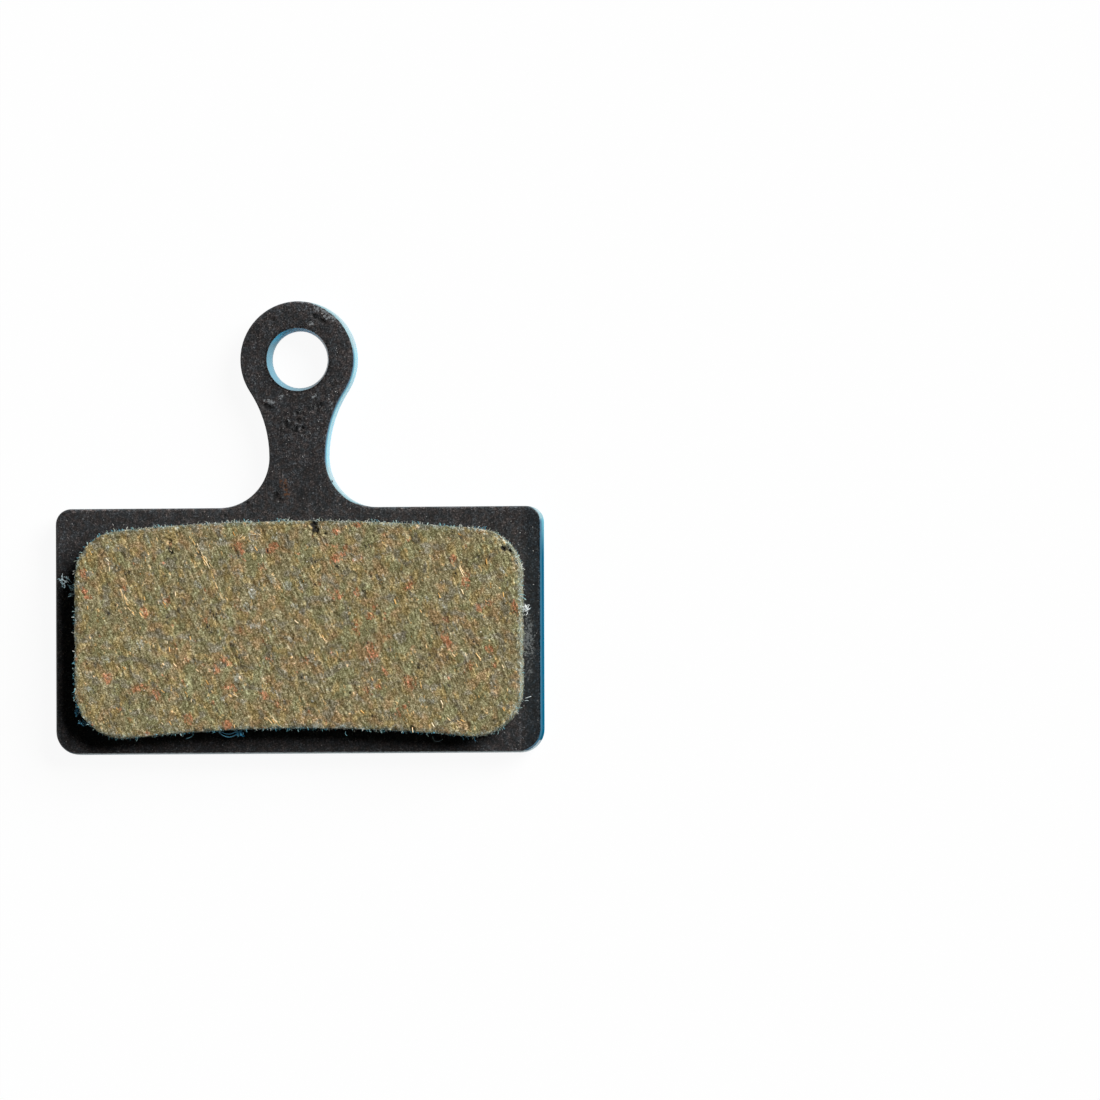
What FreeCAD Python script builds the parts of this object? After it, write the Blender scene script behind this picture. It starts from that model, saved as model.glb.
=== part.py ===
import FreeCAD, Part
import math
import os

import Sketcher

# Bicycle disc brake pad: a stamped steel backing plate with a friction lining moulded onto its front face.
# The pad lies on its painted back, so +Z points from the piston side to the rotor side. The origin is on the
# axis of the retaining eye, at the back face, and +Y points from the lining towards the eye.

# Driving dimensions in millimetres
SIZES = {
    # backing plate outline
    "plate_width": 38.0,
    "plate_height": 19.0,
    "plate_thickness": 2.0,
    "shoulder_corner_radius": 1.2,
    "lower_corner_radius": 1.8,
    # retaining eye and the waisted neck that carries it
    "eye_above_shoulder": 11.45,
    "eye_radius": 4.5,
    "eye_bore_radius": 2.2,
    "neck_width": 4.5,
    "neck_foot_radius": 3.9,
    # edges left by stamping: rolled over on the back, only broken on the front
    "edge_roll_radius": 0.6,
    "hole_roll_radius": 0.4,
    "front_edge_break": 0.12,
    # the pierced bore is sheared clean for a short land, then breaks out wider towards the front
    "bore_land": 0.6,
    "bore_breakout": 0.25,
    # holes through which the lining is keyed to the plate
    "plug_hole_radius": 3.0,
    "plug_spacing": 17.7,
    "plug_below_shoulder": 9.15,
    "plug_recess": 0.45,
    "plug_shrinkage": 0.01,
    # friction lining, whose upper and lower edges are arcs about one centre
    "lining_width": 34.8,
    "lining_height": 15.95,
    "lining_thickness": 2.0,
    "lining_below_shoulder": 1.1,
    "lining_offset": 0.2,
    "lining_arc_radius": 145.0,
    "lining_upper_corner_radius": 3.6,
    "lining_lower_corner_radius": 3.7,
}

# Names for the ends of a sketched curve, and for the sketch's own origin
START, END, CENTRE = 1, 2, 3
ORIGIN = (-1, 1)
UPWARDS = FreeCAD.Vector(0, 0, 1)
SAME_PLACE = 1e-6


def make_sheet(doc):
    """Writes the driving dimensions into a spreadsheet, one aliased cell each."""
    sheet = doc.addObject("Spreadsheet::Sheet", "Sizes")
    for row, (alias, value) in enumerate(SIZES.items(), 1):
        sheet.set(f"A{row}", alias)
        sheet.set(f"B{row}", str(value))
        sheet.setAlias(f"B{row}", alias)
    doc.recompute()
    return sheet


def make_body(doc, label):
    body = doc.addObject("PartDesign::Body", label)
    body.Label = label
    return body


def make_sketch(body, name, height="0"):
    """Adds a sketch parallel to the body's XY plane, at a height given as an expression."""
    sketch = body.newObject("Sketcher::SketchObject", name)
    plane = next(feature for feature in body.Origin.OriginFeatures if feature.Role == "XY_Plane")
    sketch.AttachmentSupport = [(plane, "")]
    sketch.MapMode = "FlatFace"
    sketch.setExpression("AttachmentOffset.Base.z", height)
    return sketch


def make_pad(body, sketch, name, length):
    pad = body.newObject("PartDesign::Pad", name)
    pad.Profile = sketch
    pad.setExpression("Length", length)
    body.Document.recompute()
    return pad


def cut_through(body, sketch, name):
    """Cuts a sketch drawn on the underside right through the body, upwards."""
    volume_before = body.Shape.Volume
    pocket = body.newObject("PartDesign::Pocket", name)
    pocket.Profile = sketch
    pocket.Type = "ThroughAll"
    pocket.Reversed = True
    body.Document.recompute()
    if body.Shape.Volume >= volume_before:
        raise RuntimeError(f"{name} cut nothing")
    return pocket


def dress_edges(body, kind, name, edges, **sizes):
    """Adds a fillet or chamfer on edges of the body as it stands, with its sizes as expressions."""
    base = body.Tip
    names = [
        f"Edge{number}"
        for number, edge in enumerate(base.Shape.Edges, 1)
        if any(edge.isSame(chosen) for chosen in edges)
    ]
    dressing = body.newObject(f"PartDesign::{kind}", name)
    dressing.Base = (base, names)
    if len(sizes) > 1:
        dressing.ChamferType = "Two distances"
    for size_property, expression in sizes.items():
        dressing.setExpression(size_property, expression)
    body.Document.recompute()
    return dressing


def level_face(body, height):
    """Finds the largest flat face of the body at a height."""
    level = [
        face
        for face in body.Tip.Shape.Faces
        if max(abs(vertex.Z - height) for vertex in face.Vertexes) < SAME_PLACE
    ]
    return max(level, key=lambda face: face.Area)


def rim_edges(face):
    return face.OuterWire.Edges


def hole_edges(face):
    return [edge for wire in face.Wires if not wire.isSame(face.OuterWire) for edge in wire.Edges]


def is_about_eye(edge):
    """Tells a round edge about the eye's axis from the others."""
    if not isinstance(edge.Curve, Part.Circle):
        return False
    return math.hypot(edge.Curve.Center.x, edge.Curve.Center.y) < SAME_PLACE


def line(sketch, start, end):
    return sketch.addGeometry(Part.LineSegment(FreeCAD.Vector(*start, 0), FreeCAD.Vector(*end, 0)), False)


def circle(sketch, centre, radius):
    return sketch.addGeometry(Part.Circle(FreeCAD.Vector(*centre, 0), UPWARDS, radius), False)


def arc(sketch, centre, radius, from_angle, to_angle):
    """Adds an arc that runs anticlockwise between two angles in radians."""
    whole = Part.Circle(FreeCAD.Vector(*centre, 0), UPWARDS, radius)
    return sketch.addGeometry(Part.ArcOfCircle(whole, from_angle, to_angle), False)


def constrain(sketch, *constraint):
    return sketch.addConstraint(Sketcher.Constraint(*constraint))


def drive(sketch, name, expression, *constraint):
    """Adds a named dimension, drawn at its present value, and binds it to the spreadsheet."""
    index = constrain(sketch, *constraint)
    sketch.renameConstraint(index, name)
    sketch.setExpression(f"Constraints.{name}", expression)


def join_smoothly(sketch, joints):
    """Joins the ends of neighbouring curves at one point with one tangent."""
    for first, first_end, second, second_end in joints:
        constrain(sketch, "Tangent", first, first_end, second, second_end)


def require_closed(sketch):
    """Stops the build if a sketch could still change shape."""
    sketch.Document.recompute()
    if not sketch.FullyConstrained:
        raise RuntimeError(f"{sketch.Name} is not fully constrained")


def draw_plate_outline(body, size):
    """Draws the plate from its eye down the left side, along the lower edge and back up the right."""
    sketch = make_sketch(body, "PlateOutline")
    eye_radius, foot_radius = size.eye_radius, size.neck_foot_radius
    top_radius, low_radius = size.shoulder_corner_radius, size.lower_corner_radius
    side = size.plate_width / 2
    waist = size.neck_width / 2
    shoulder = -size.eye_above_shoulder
    lower = shoulder - size.plate_height
    waist_level = shoulder + foot_radius
    # the arc above the waist touches the eye, which fixes its radius and where it ends
    flank_radius = (waist**2 + waist_level**2 - eye_radius**2) / (2 * (eye_radius - waist))
    lean = math.atan2(-waist_level, waist + flank_radius)
    quarter = math.pi / 2
    foot_x, flank_x = waist + foot_radius, waist + flank_radius
    top_x, top_y = side - top_radius, shoulder - top_radius
    low_x, low_y = side - low_radius, lower + low_radius

    eye = arc(sketch, (0, 0), eye_radius, -lean, math.pi + lean)
    left_flank = arc(sketch, (-flank_x, waist_level), flank_radius, 0, lean)
    left_foot = arc(sketch, (-foot_x, waist_level), foot_radius, -quarter, 0)
    left_shoulder = line(sketch, (-foot_x, shoulder), (-top_x, shoulder))
    left_top = arc(sketch, (-top_x, top_y), top_radius, quarter, 2 * quarter)
    left_side = line(sketch, (-side, top_y), (-side, low_y))
    left_low = arc(sketch, (-low_x, low_y), low_radius, 2 * quarter, 3 * quarter)
    lower_edge = line(sketch, (-low_x, lower), (low_x, lower))
    right_low = arc(sketch, (low_x, low_y), low_radius, 3 * quarter, 4 * quarter)
    right_side = line(sketch, (side, low_y), (side, top_y))
    right_top = arc(sketch, (top_x, top_y), top_radius, 0, quarter)
    right_shoulder = line(sketch, (top_x, shoulder), (foot_x, shoulder))
    right_foot = arc(sketch, (foot_x, waist_level), foot_radius, 2 * quarter, 3 * quarter)
    right_flank = arc(sketch, (flank_x, waist_level), flank_radius, math.pi - lean, math.pi)

    join_smoothly(sketch, (
        (eye, END, left_flank, END),
        (left_flank, START, left_foot, END),
        (left_foot, START, left_shoulder, START),
        (left_shoulder, END, left_top, START),
        (left_top, END, left_side, START),
        (left_side, END, left_low, START),
        (left_low, END, lower_edge, START),
        (lower_edge, END, right_low, START),
        (right_low, END, right_side, START),
        (right_side, END, right_top, START),
        (right_top, END, right_shoulder, START),
        (right_shoulder, END, right_foot, END),
        (right_foot, START, right_flank, END),
        (right_flank, START, eye, START),
    ))
    constrain(sketch, "Coincident", eye, CENTRE, *ORIGIN)
    for level in (left_shoulder, right_shoulder, lower_edge):
        constrain(sketch, "Horizontal", level)
    for upright in (left_side, right_side):
        constrain(sketch, "Vertical", upright)
    constrain(sketch, "Horizontal", left_flank, CENTRE, left_foot, CENTRE)
    constrain(sketch, "Horizontal", right_flank, CENTRE, right_foot, CENTRE)
    constrain(sketch, "Equal", left_foot, right_foot)
    constrain(sketch, "Equal", left_top, right_top)
    constrain(sketch, "Equal", left_low, right_low)
    constrain(sketch, "Symmetric", left_foot, END, right_foot, START, -2)

    drive(sketch, "eye", "Sizes.eye_radius", "Radius", eye, eye_radius)
    drive(sketch, "foot", "Sizes.neck_foot_radius", "Radius", left_foot, foot_radius)
    drive(sketch, "top", "Sizes.shoulder_corner_radius", "Radius", left_top, top_radius)
    drive(sketch, "low", "Sizes.lower_corner_radius", "Radius", left_low, low_radius)
    drive(sketch, "neck", "Sizes.neck_width", "DistanceX", left_foot, END, right_foot, START, size.neck_width)
    drive(sketch, "drop", "Sizes.eye_above_shoulder",
          "DistanceY", left_shoulder, START, *ORIGIN, size.eye_above_shoulder)
    drive(sketch, "width", "Sizes.plate_width",
          "DistanceX", left_side, START, right_side, END, size.plate_width)
    drive(sketch, "half_width", "Sizes.plate_width / 2", "DistanceX", *ORIGIN, right_side, END, side)
    drive(sketch, "body_height", "Sizes.plate_height",
          "DistanceY", lower_edge, START, left_shoulder, START, size.plate_height)
    require_closed(sketch)
    return sketch


def draw_plug_circles(body, name, size, height, radius_expression):
    """Draws the two circles shared by the plate's holes and the plugs that fill them."""
    sketch = make_sketch(body, name, height)
    reach = size.plug_spacing / 2
    level = size.eye_above_shoulder + size.plug_below_shoulder
    left = circle(sketch, (-reach, -level), size.plug_hole_radius)
    right = circle(sketch, (reach, -level), size.plug_hole_radius)
    constrain(sketch, "Equal", left, right)
    constrain(sketch, "Symmetric", left, CENTRE, right, CENTRE, -2)
    drive(sketch, "round", radius_expression, "Radius", left, size.plug_hole_radius)
    drive(sketch, "spacing", "Sizes.plug_spacing",
          "DistanceX", left, CENTRE, right, CENTRE, size.plug_spacing)
    drive(sketch, "level", "Sizes.eye_above_shoulder + Sizes.plug_below_shoulder",
          "DistanceY", left, CENTRE, *ORIGIN, level)
    require_closed(sketch)
    return sketch


def draw_eye_bore(body, size):
    sketch = make_sketch(body, "EyeBore")
    bore = circle(sketch, (0, 0), size.eye_bore_radius)
    constrain(sketch, "Coincident", bore, CENTRE, *ORIGIN)
    drive(sketch, "bore", "Sizes.eye_bore_radius", "Radius", bore, size.eye_bore_radius)
    require_closed(sketch)
    return sketch


def build_backing_plate(doc, size):
    """Stamps the plate: blanked and pierced from sheet, rolled edges behind, broken edges in front."""
    body = make_body(doc, "backing_plate")
    make_pad(body, draw_plate_outline(body, size), "Blank", "Sizes.plate_thickness")
    cut_through(body, draw_eye_bore(body, size), "PierceEye")
    plug_holes = draw_plug_circles(body, "PlugHoles", size, "0", "Sizes.plug_hole_radius")
    cut_through(body, plug_holes, "PiercePlugHoles")

    back = level_face(body, 0)
    dress_edges(body, "Fillet", "RolledHoles", hole_edges(back), Radius="Sizes.hole_roll_radius")
    back = level_face(body, 0)
    dress_edges(body, "Fillet", "RolledEdge", rim_edges(back), Radius="Sizes.edge_roll_radius")
    front = level_face(body, size.plate_thickness)
    bore_edges = [edge for edge in hole_edges(front) if is_about_eye(edge)]
    dress_edges(body, "Chamfer", "BoreBreakout", bore_edges,
                Size="Sizes.plate_thickness - Sizes.hole_roll_radius - Sizes.bore_land",
                Size2="Sizes.bore_breakout")
    front = level_face(body, size.plate_thickness)
    dress_edges(body, "Chamfer", "BrokenEdge", rim_edges(front), Size="Sizes.front_edge_break")
    mouth = next(edge for edge in hole_edges(level_face(body, size.plate_thickness)) if is_about_eye(edge))
    if abs(mouth.Curve.Radius - size.eye_bore_radius - size.bore_breakout) > SAME_PLACE:
        raise RuntimeError("the bore breaks out along the wrong face")
    return body


def draw_lining_outline(body, size):
    """Draws the lining between two arcs about one centre, with rounded corners at its upright ends."""
    sketch = make_sketch(body, "LiningOutline", "Sizes.plate_thickness")
    offset = size.lining_offset
    outer, inner = size.lining_arc_radius, size.lining_arc_radius - size.lining_height
    top_radius, low_radius = size.lining_upper_corner_radius, size.lining_lower_corner_radius
    side = size.lining_width / 2
    arc_drop = size.eye_above_shoulder + size.lining_below_shoulder + outer
    centre = (offset, -arc_drop)
    # corner centres lie inside the upper arc and outside the lower one
    top_x, low_x = side - top_radius, side - low_radius
    top_lean = math.asin(top_x / (outer - top_radius))
    low_lean = math.asin(low_x / (inner + low_radius))
    top_y = (outer - top_radius) * math.cos(top_lean) - arc_drop
    low_y = (inner + low_radius) * math.cos(low_lean) - arc_drop
    quarter = math.pi / 2

    upper = arc(sketch, centre, outer, quarter - top_lean, quarter + top_lean)
    left_top = arc(sketch, (offset - top_x, top_y), top_radius, quarter + top_lean, 2 * quarter)
    left_side = line(sketch, (offset - side, top_y), (offset - side, low_y))
    left_low = arc(sketch, (offset - low_x, low_y), low_radius, 2 * quarter, 3 * quarter + low_lean)
    lower = arc(sketch, centre, inner, quarter - low_lean, quarter + low_lean)
    right_low = arc(sketch, (offset + low_x, low_y), low_radius, 3 * quarter - low_lean, 4 * quarter)
    right_side = line(sketch, (offset + side, low_y), (offset + side, top_y))
    right_top = arc(sketch, (offset + top_x, top_y), top_radius, 0, quarter - top_lean)

    join_smoothly(sketch, (
        (upper, END, left_top, START),
        (left_top, END, left_side, START),
        (left_side, END, left_low, START),
        (left_low, END, lower, END),
        (lower, START, right_low, START),
        (right_low, END, right_side, START),
        (right_side, END, right_top, START),
        (right_top, END, upper, START),
    ))
    constrain(sketch, "Coincident", upper, CENTRE, lower, CENTRE)
    for upright in (left_side, right_side):
        constrain(sketch, "Vertical", upright)
    constrain(sketch, "Equal", left_top, right_top)
    constrain(sketch, "Equal", left_low, right_low)

    drive(sketch, "outer", "Sizes.lining_arc_radius", "Radius", upper, outer)
    drive(sketch, "inner", "Sizes.lining_arc_radius - Sizes.lining_height", "Radius", lower, inner)
    drive(sketch, "top", "Sizes.lining_upper_corner_radius", "Radius", left_top, top_radius)
    drive(sketch, "low", "Sizes.lining_lower_corner_radius", "Radius", left_low, low_radius)
    drive(sketch, "offset", "Sizes.lining_offset", "DistanceX", *ORIGIN, upper, CENTRE, offset)
    drive(sketch, "arc_drop",
          "Sizes.eye_above_shoulder + Sizes.lining_below_shoulder + Sizes.lining_arc_radius",
          "DistanceY", upper, CENTRE, *ORIGIN, arc_drop)
    drive(sketch, "width", "Sizes.lining_width",
          "DistanceX", left_side, START, right_side, END, size.lining_width)
    drive(sketch, "half_width", "Sizes.lining_width / 2",
          "DistanceX", upper, CENTRE, right_side, END, side)
    require_closed(sketch)
    return sketch


def build_friction_lining(doc, size):
    """Moulds the lining: the block on the plate's front, and the plugs that run back through its holes."""
    body = make_body(doc, "friction_lining")
    make_pad(body, draw_lining_outline(body, size), "Block", "Sizes.lining_thickness")
    plugs = draw_plug_circles(body, "PlugCircles", size, "Sizes.plug_recess",
                              "Sizes.plug_hole_radius - Sizes.plug_shrinkage")
    make_pad(body, plugs, "Plugs", "Sizes.plate_thickness - Sizes.plug_recess")
    return body


def check_document(doc, bodies):
    """Stops before anything is written if an object failed or a sub-part is not one sound solid."""
    for item in doc.Objects:
        if "Invalid" in item.State or "Error" in item.State:
            raise RuntimeError(f"{item.Name} failed: {item.State}")
    for body in bodies:
        if body.Shape.isNull() or not body.Shape.isValid() or len(body.Shape.Solids) != 1:
            raise RuntimeError(f"{body.Label} is not one sound solid")


def main():
    doc = FreeCAD.newDocument("disc_brake_pad")
    size = make_sheet(doc)
    bodies = [build_backing_plate(doc, size), build_friction_lining(doc, size)]
    doc.recompute()
    check_document(doc, bodies)
    os.makedirs("parts", exist_ok=True)
    for body in bodies:
        body.Shape.exportStep(f"parts/{body.Label}.step")
        box = body.Shape.optimalBoundingBox(False)
        print(f"{body.Label}: {body.Shape.Volume:.1f} mm3, "
              f"{box.XLength:.2f} x {box.YLength:.2f} x {box.ZLength:.2f} mm")


main()
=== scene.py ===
"""A bicycle disc brake pad, lying on its painted back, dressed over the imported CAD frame.

The plate and the lining are rebuilt as fine meshes on the outlines of their CAD solids. What is scattered
over them, such as frayed fibres, brass wires and dust, comes from Geometry Nodes. Lengths are millimetres
up to the point where a mesh or a node takes them, and metres from there on.
"""
import logging
import math
from dataclasses import dataclass, field
from enum import Enum
from typing import Any, Sequence

import bmesh
import bpy
import numpy as np
from mathutils import Matrix, Vector, noise
from mathutils.geometry import delaunay_2d_cdt
from mathutils.kdtree import KDTree


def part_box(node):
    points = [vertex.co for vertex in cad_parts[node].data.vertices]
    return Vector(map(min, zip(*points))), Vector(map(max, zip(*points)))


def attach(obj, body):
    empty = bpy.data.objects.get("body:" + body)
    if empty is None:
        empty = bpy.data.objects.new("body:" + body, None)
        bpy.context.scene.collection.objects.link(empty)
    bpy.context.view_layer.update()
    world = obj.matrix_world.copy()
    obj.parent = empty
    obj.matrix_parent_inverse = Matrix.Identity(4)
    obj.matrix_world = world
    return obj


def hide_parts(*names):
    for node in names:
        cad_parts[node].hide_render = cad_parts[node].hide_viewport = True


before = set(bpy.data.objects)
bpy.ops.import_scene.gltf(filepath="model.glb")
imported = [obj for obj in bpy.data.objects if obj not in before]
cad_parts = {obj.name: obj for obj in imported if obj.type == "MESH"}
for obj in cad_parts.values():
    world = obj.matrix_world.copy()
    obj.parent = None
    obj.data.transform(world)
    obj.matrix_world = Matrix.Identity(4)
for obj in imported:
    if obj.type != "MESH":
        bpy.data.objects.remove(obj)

MM = 0.001
BODY = "root"
SAME_POINT = 0.001
FLAT_ENOUGH = 0.999
HEX_ROW = math.sqrt(0.75)
GRIND_TURN = math.radians(66)
FULL_TURN = 2 * math.pi
MARK_EDGE = 1.25
MARK_LIMIT = 1.8
MARK_WANDER = 0.5
INSIDE_ONLY = 1
WELD = 1e-7
NO_LENGTH = 1e-9
TUBE_SIDES = 4
TUBE_SMOOTHINGS = 2
log = logging.getLogger("disc_brake_pad")

Colour = tuple[float, float, float, float]
Socket = bpy.types.NodeSocket
WHITE: Colour = (1.0, 1.0, 1.0, 1.0)


class Slot(Enum):
    """The record's material slots."""

    PLATE = "coated_plate"
    COMPOUND = "friction_compound"


class Facing(Enum):
    """Which way a flat face of a solid looks."""

    FRONT = 1.0
    BACK = -1.0


class Stance(Enum):
    """How scattered fibres stand on what carries them."""

    STANDING = "standing"
    LYING = "lying"


class Fringe(Enum):
    """What the fibres along the lining's edge are: stained by the coat, or bare."""

    COATED = "coated"
    BARE = "bare"


class Stain(Enum):
    """What a mark on a face is made of, which is also the name of its field on the mesh."""

    RUST = "rust"
    SCUFF = "scuff"
    PIT = "pit"
    POWDER = "powder"
    WORN = "worn"
    COPPER = "copper"
    PALE = "pale"
    DARK = "dark"


def screen(red: float, green: float, blue: float) -> Colour:
    """Turns a colour as a screen shows it into the linear values that shaders take.

    Args:
        red: Red from 0 to 255.
        green: Green from 0 to 255.
        blue: Blue from 0 to 255.

    Returns:
        The linear colour with an alpha of 1.
    """
    def straighten(value: float) -> float:
        """Undoes the screen's curve on one channel."""
        share = value / 255
        return share / 12.92 if share <= 0.04045 else ((share + 0.055) / 1.055) ** 2.4

    return straighten(red), straighten(green), straighten(blue), 1.0


class Graph:
    """A node tree under construction, with one call for each node."""

    def __init__(self, tree: bpy.types.NodeTree) -> None:
        """Keeps the tree."""
        self.tree = tree

    def add(self, kind: str, inputs: dict[Any, Any] | None = None, **settings: Any) -> bpy.types.Node:
        """Adds one node, sets it up and connects it.

        Args:
            kind: The node's type.
            inputs: What goes into each input, by name or number: a socket to link or a value to set.
            **settings: The node's own properties.

        Returns:
            The new node.
        """
        node = self.tree.nodes.new(kind)
        for name, value in settings.items():
            setattr(node, name, value)
        for key, value in (inputs or {}).items():
            if isinstance(value, Socket):
                self.tree.links.new(value, node.inputs[key])
            else:
                node.inputs[key].default_value = value
        return node

    def math(self, operation: str, first: Any, second: Any = 0.0, third: Any = 0.0) -> Socket:
        """Adds one sum on numbers and gives its result."""
        return self.add("ShaderNodeMath", {0: first, 1: second, 2: third}, operation=operation).outputs[0]

    def times(self, first: Any, *others: Any) -> Socket:
        """Multiplies numbers.

        Args:
            first: The first number.
            *others: The numbers that it is multiplied by, in turn.

        Returns:
            The product.
        """
        for other in others:
            first = self.math("MULTIPLY", first, other)
        return first

    def vector(self, operation: str, first: Any, second: Any = (0.0, 0.0, 0.0), scale: Any = 1.0) -> Socket:
        """Adds one sum on vectors and gives its result."""
        inputs = {0: first, 1: second, 3: scale}
        return self.add("ShaderNodeVectorMath", inputs, operation=operation).outputs[0]

    def spot(self, **numbers: Any) -> Socket:
        """Makes a vector from the numbers given for X, Y and Z."""
        return self.add("ShaderNodeCombineXYZ", numbers).outputs[0]


class ShaderGraph(Graph):
    """A material under construction, with patterns that lie in the object's own millimetres."""

    def __init__(self, name: str) -> None:
        """Starts an empty material.

        Args:
            name: The material's name.
        """
        self.material = bpy.data.materials.new(name)
        self.material.use_nodes = True
        super().__init__(self.material.node_tree)
        self.tree.nodes.clear()

    def place(self, turn: float = 0.0, stretch: Sequence[float] = (1.0, 1.0, 1.0)) -> Socket:
        """Gives the place on the object in millimetres.

        Args:
            turn: Angle about Z by which the place is turned, in radians.
            stretch: Factors on the turned axes: a small one draws a pattern out along that axis.

        Returns:
            The vector that a texture reads.
        """
        here = self.add("ShaderNodeTexCoord").outputs["Object"]
        to_mm = {"Vector": here, "Rotation": (0, 0, turn), "Scale": (1 / MM,) * 3}
        turned = self.add("ShaderNodeMapping", to_mm).outputs[0]
        return self.add("ShaderNodeMapping", {"Vector": turned, "Scale": stretch}).outputs[0]

    def noise(self, place: Socket, scale: float, detail: float = 2.0, rough: float = 0.5) -> Socket:
        """Adds soft noise with about that many blobs to the millimetre."""
        inputs = {"Vector": place, "Scale": scale, "Detail": detail, "Roughness": rough}
        return self.add("ShaderNodeTexNoise", inputs).outputs[0]

    def warp(self, place: Socket, scale: float, amount: float) -> Socket:
        """Shifts a place about with noise, so that a pattern on it loses its straight lines.

        Args:
            place: The place to shift.
            scale: Blobs of noise to the millimetre.
            amount: The largest shift, in millimetres.

        Returns:
            The shifted place.
        """
        drift = self.add("ShaderNodeTexNoise", {"Vector": place, "Scale": scale, "Detail": 2.0}).outputs[1]
        centred = self.vector("SUBTRACT", drift, (0.5, 0.5, 0.5))
        return self.vector("ADD", place, self.vector("SCALE", centred, scale=2 * amount))

    def cells(self, place: Socket, scale: float) -> tuple[Socket, Socket, Socket, Socket]:
        """Adds cells, each with three random values of its own.

        Args:
            place: Where the pattern lies.
            scale: Cells to the millimetre.

        Returns:
            The distance from the cell's middle, and the three values.
        """
        node = self.add("ShaderNodeTexVoronoi", {"Vector": place, "Scale": scale})
        parts = self.add("ShaderNodeSeparateColor", {0: node.outputs["Color"]})
        return node.outputs["Distance"], parts.outputs[0], parts.outputs[1], parts.outputs[2]

    def frayed(self, place: Socket, blobs: float, grains: float, share: float = 0.35) -> Socket:
        """Adds noise about 0.5 that is split into small grains, to break up the edge of a mark.

        Args:
            place: Where the pattern lies.
            blobs: Blobs of noise to the millimetre.
            grains: Grains to the millimetre.
            share: How far a grain may differ from the noise around it.

        Returns:
            The pattern.
        """
        single = self.math("SUBTRACT", self.cells(self.warp(place, grains, 0.05), grains)[2], 0.5)
        return self.math("MULTIPLY_ADD", single, share, self.noise(place, blobs, 4.0, 0.75))

    def step(self, value: Any, low: float, high: float) -> Socket:
        """Rises softly from 0 at low to 1 at high."""
        inputs = {"Value": value, "From Min": low, "From Max": high}
        return self.add("ShaderNodeMapRange", inputs, interpolation_type="SMOOTHSTEP").outputs[0]

    def spread(self, value: Any, low: float, high: float) -> Socket:
        """Turns a value from 0 to 1 into one from low to high."""
        return self.add("ShaderNodeMapRange", {"Value": value, "To Min": low, "To Max": high}).outputs[0]

    def ramp(self, value: Any, stops: Sequence[tuple[float, Colour]]) -> Socket:
        """Turns a value into a colour.

        Args:
            value: The value, from 0 to 1.
            stops: Pairs of a value and the colour there, in rising order.

        Returns:
            The colour.
        """
        node = self.add("ShaderNodeValToRGB", {0: value})
        elements = node.color_ramp.elements
        while len(elements) < len(stops):
            elements.new(1.0)
        for element, (position, colour) in zip(elements, stops):
            element.position = position
            element.color = colour
        return node.outputs[0]

    def mix(self, share: Any, first: Any, second: Any, mode: str = "MIX") -> Socket:
        """Blends two colours and gives the result."""
        inputs = {0: share, 6: first, 7: second}
        return self.add("ShaderNodeMix", inputs, data_type="RGBA", blend_type=mode).outputs[2]

    def shade(self, colour: Any, value: Socket) -> Socket:
        """Multiplies a colour by a number."""
        tone = colour if isinstance(colour, Socket) else colour[:3]
        return self.vector("SCALE", tone, scale=value)

    def contrast(self, colour: Any, layers: Sequence[tuple[Socket, Any]],
                 channels: tuple[float, float, float] = (1.0, 1.0, 1.0)) -> Socket:
        """Makes a colour lighter and darker by layers of grain.

        Args:
            colour: The colour to start from.
            layers: Pairs of a pattern about 0.5 and how many times it doubles the light from 0 to 1.
            channels: How strongly each channel follows, so that the grain can keep or lose its colour.

        Returns:
            The grained colour.
        """
        total: Any = 0.0
        for pattern, doublings in layers:
            total = self.math("MULTIPLY_ADD", self.math("SUBTRACT", pattern, 0.5), doublings, total)
        factors = [self.math("POWER", 2.0, self.times(total, share)) for share in channels]
        tone = colour if isinstance(colour, Socket) else colour[:3]
        return self.vector("MULTIPLY", tone, self.spot(**dict(zip("XYZ", factors))))

    def axis(self, place: Socket, number: int) -> Socket:
        """Gives one of the three numbers of a place."""
        return self.add("ShaderNodeSeparateXYZ", {0: place}).outputs[number]

    def field(self, name: str) -> Socket:
        """Reads a field of the mesh."""
        return self.add("ShaderNodeAttribute", attribute_name=name).outputs["Fac"]

    def stained(self, colour: Any, tone: Any, stain: Stain, ragged: Socket, share: float,
                rise: tuple[float, float], fade: float) -> Socket:
        """Lays a stain with a ragged edge over a colour.

        Args:
            colour: The colour under the stain.
            tone: The stain's own colour.
            stain: The stain, whose field says where it lies.
            ragged: A pattern about 0 that is added to the field, to break up the edge.
            share: How much of the stain's colour shows where it is full.
            rise: The sums of field and pattern at which the stain starts and is full.
            fade: The field below which the stain fades out.

        Returns:
            The stained colour.
        """
        amount = self.math("ADD", self.field(stain.value), ragged)
        ends = self.step(self.field(stain.value), 0.0, fade)
        return self.mix(self.times(self.step(amount, *rise), share, ends), colour, tone)

    def bump(self, height: Socket, depth: float, under: Socket | None = None) -> Socket:
        """Turns a height from 0 to 1 into a slope of the surface.

        Args:
            height: The height.
            depth: How many millimetres the height of 1 stands for.
            under: A slope that this one is added to.

        Returns:
            The surface's normal.
        """
        inputs: dict[Any, Any] = {"Height": height, "Distance": depth * MM}
        if under is not None:
            inputs["Normal"] = under
        return self.add("ShaderNodeBump", inputs).outputs[0]

    def close(self, inputs: dict[Any, Any]) -> bpy.types.Material:
        """Ends the material in a principled shader.

        Args:
            inputs: What goes into the shader's inputs.

        Returns:
            The finished material.
        """
        shader = self.add("ShaderNodeBsdfPrincipled", inputs)
        self.add("ShaderNodeOutputMaterial", {"Surface": shader.outputs[0]})
        return self.material


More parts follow.
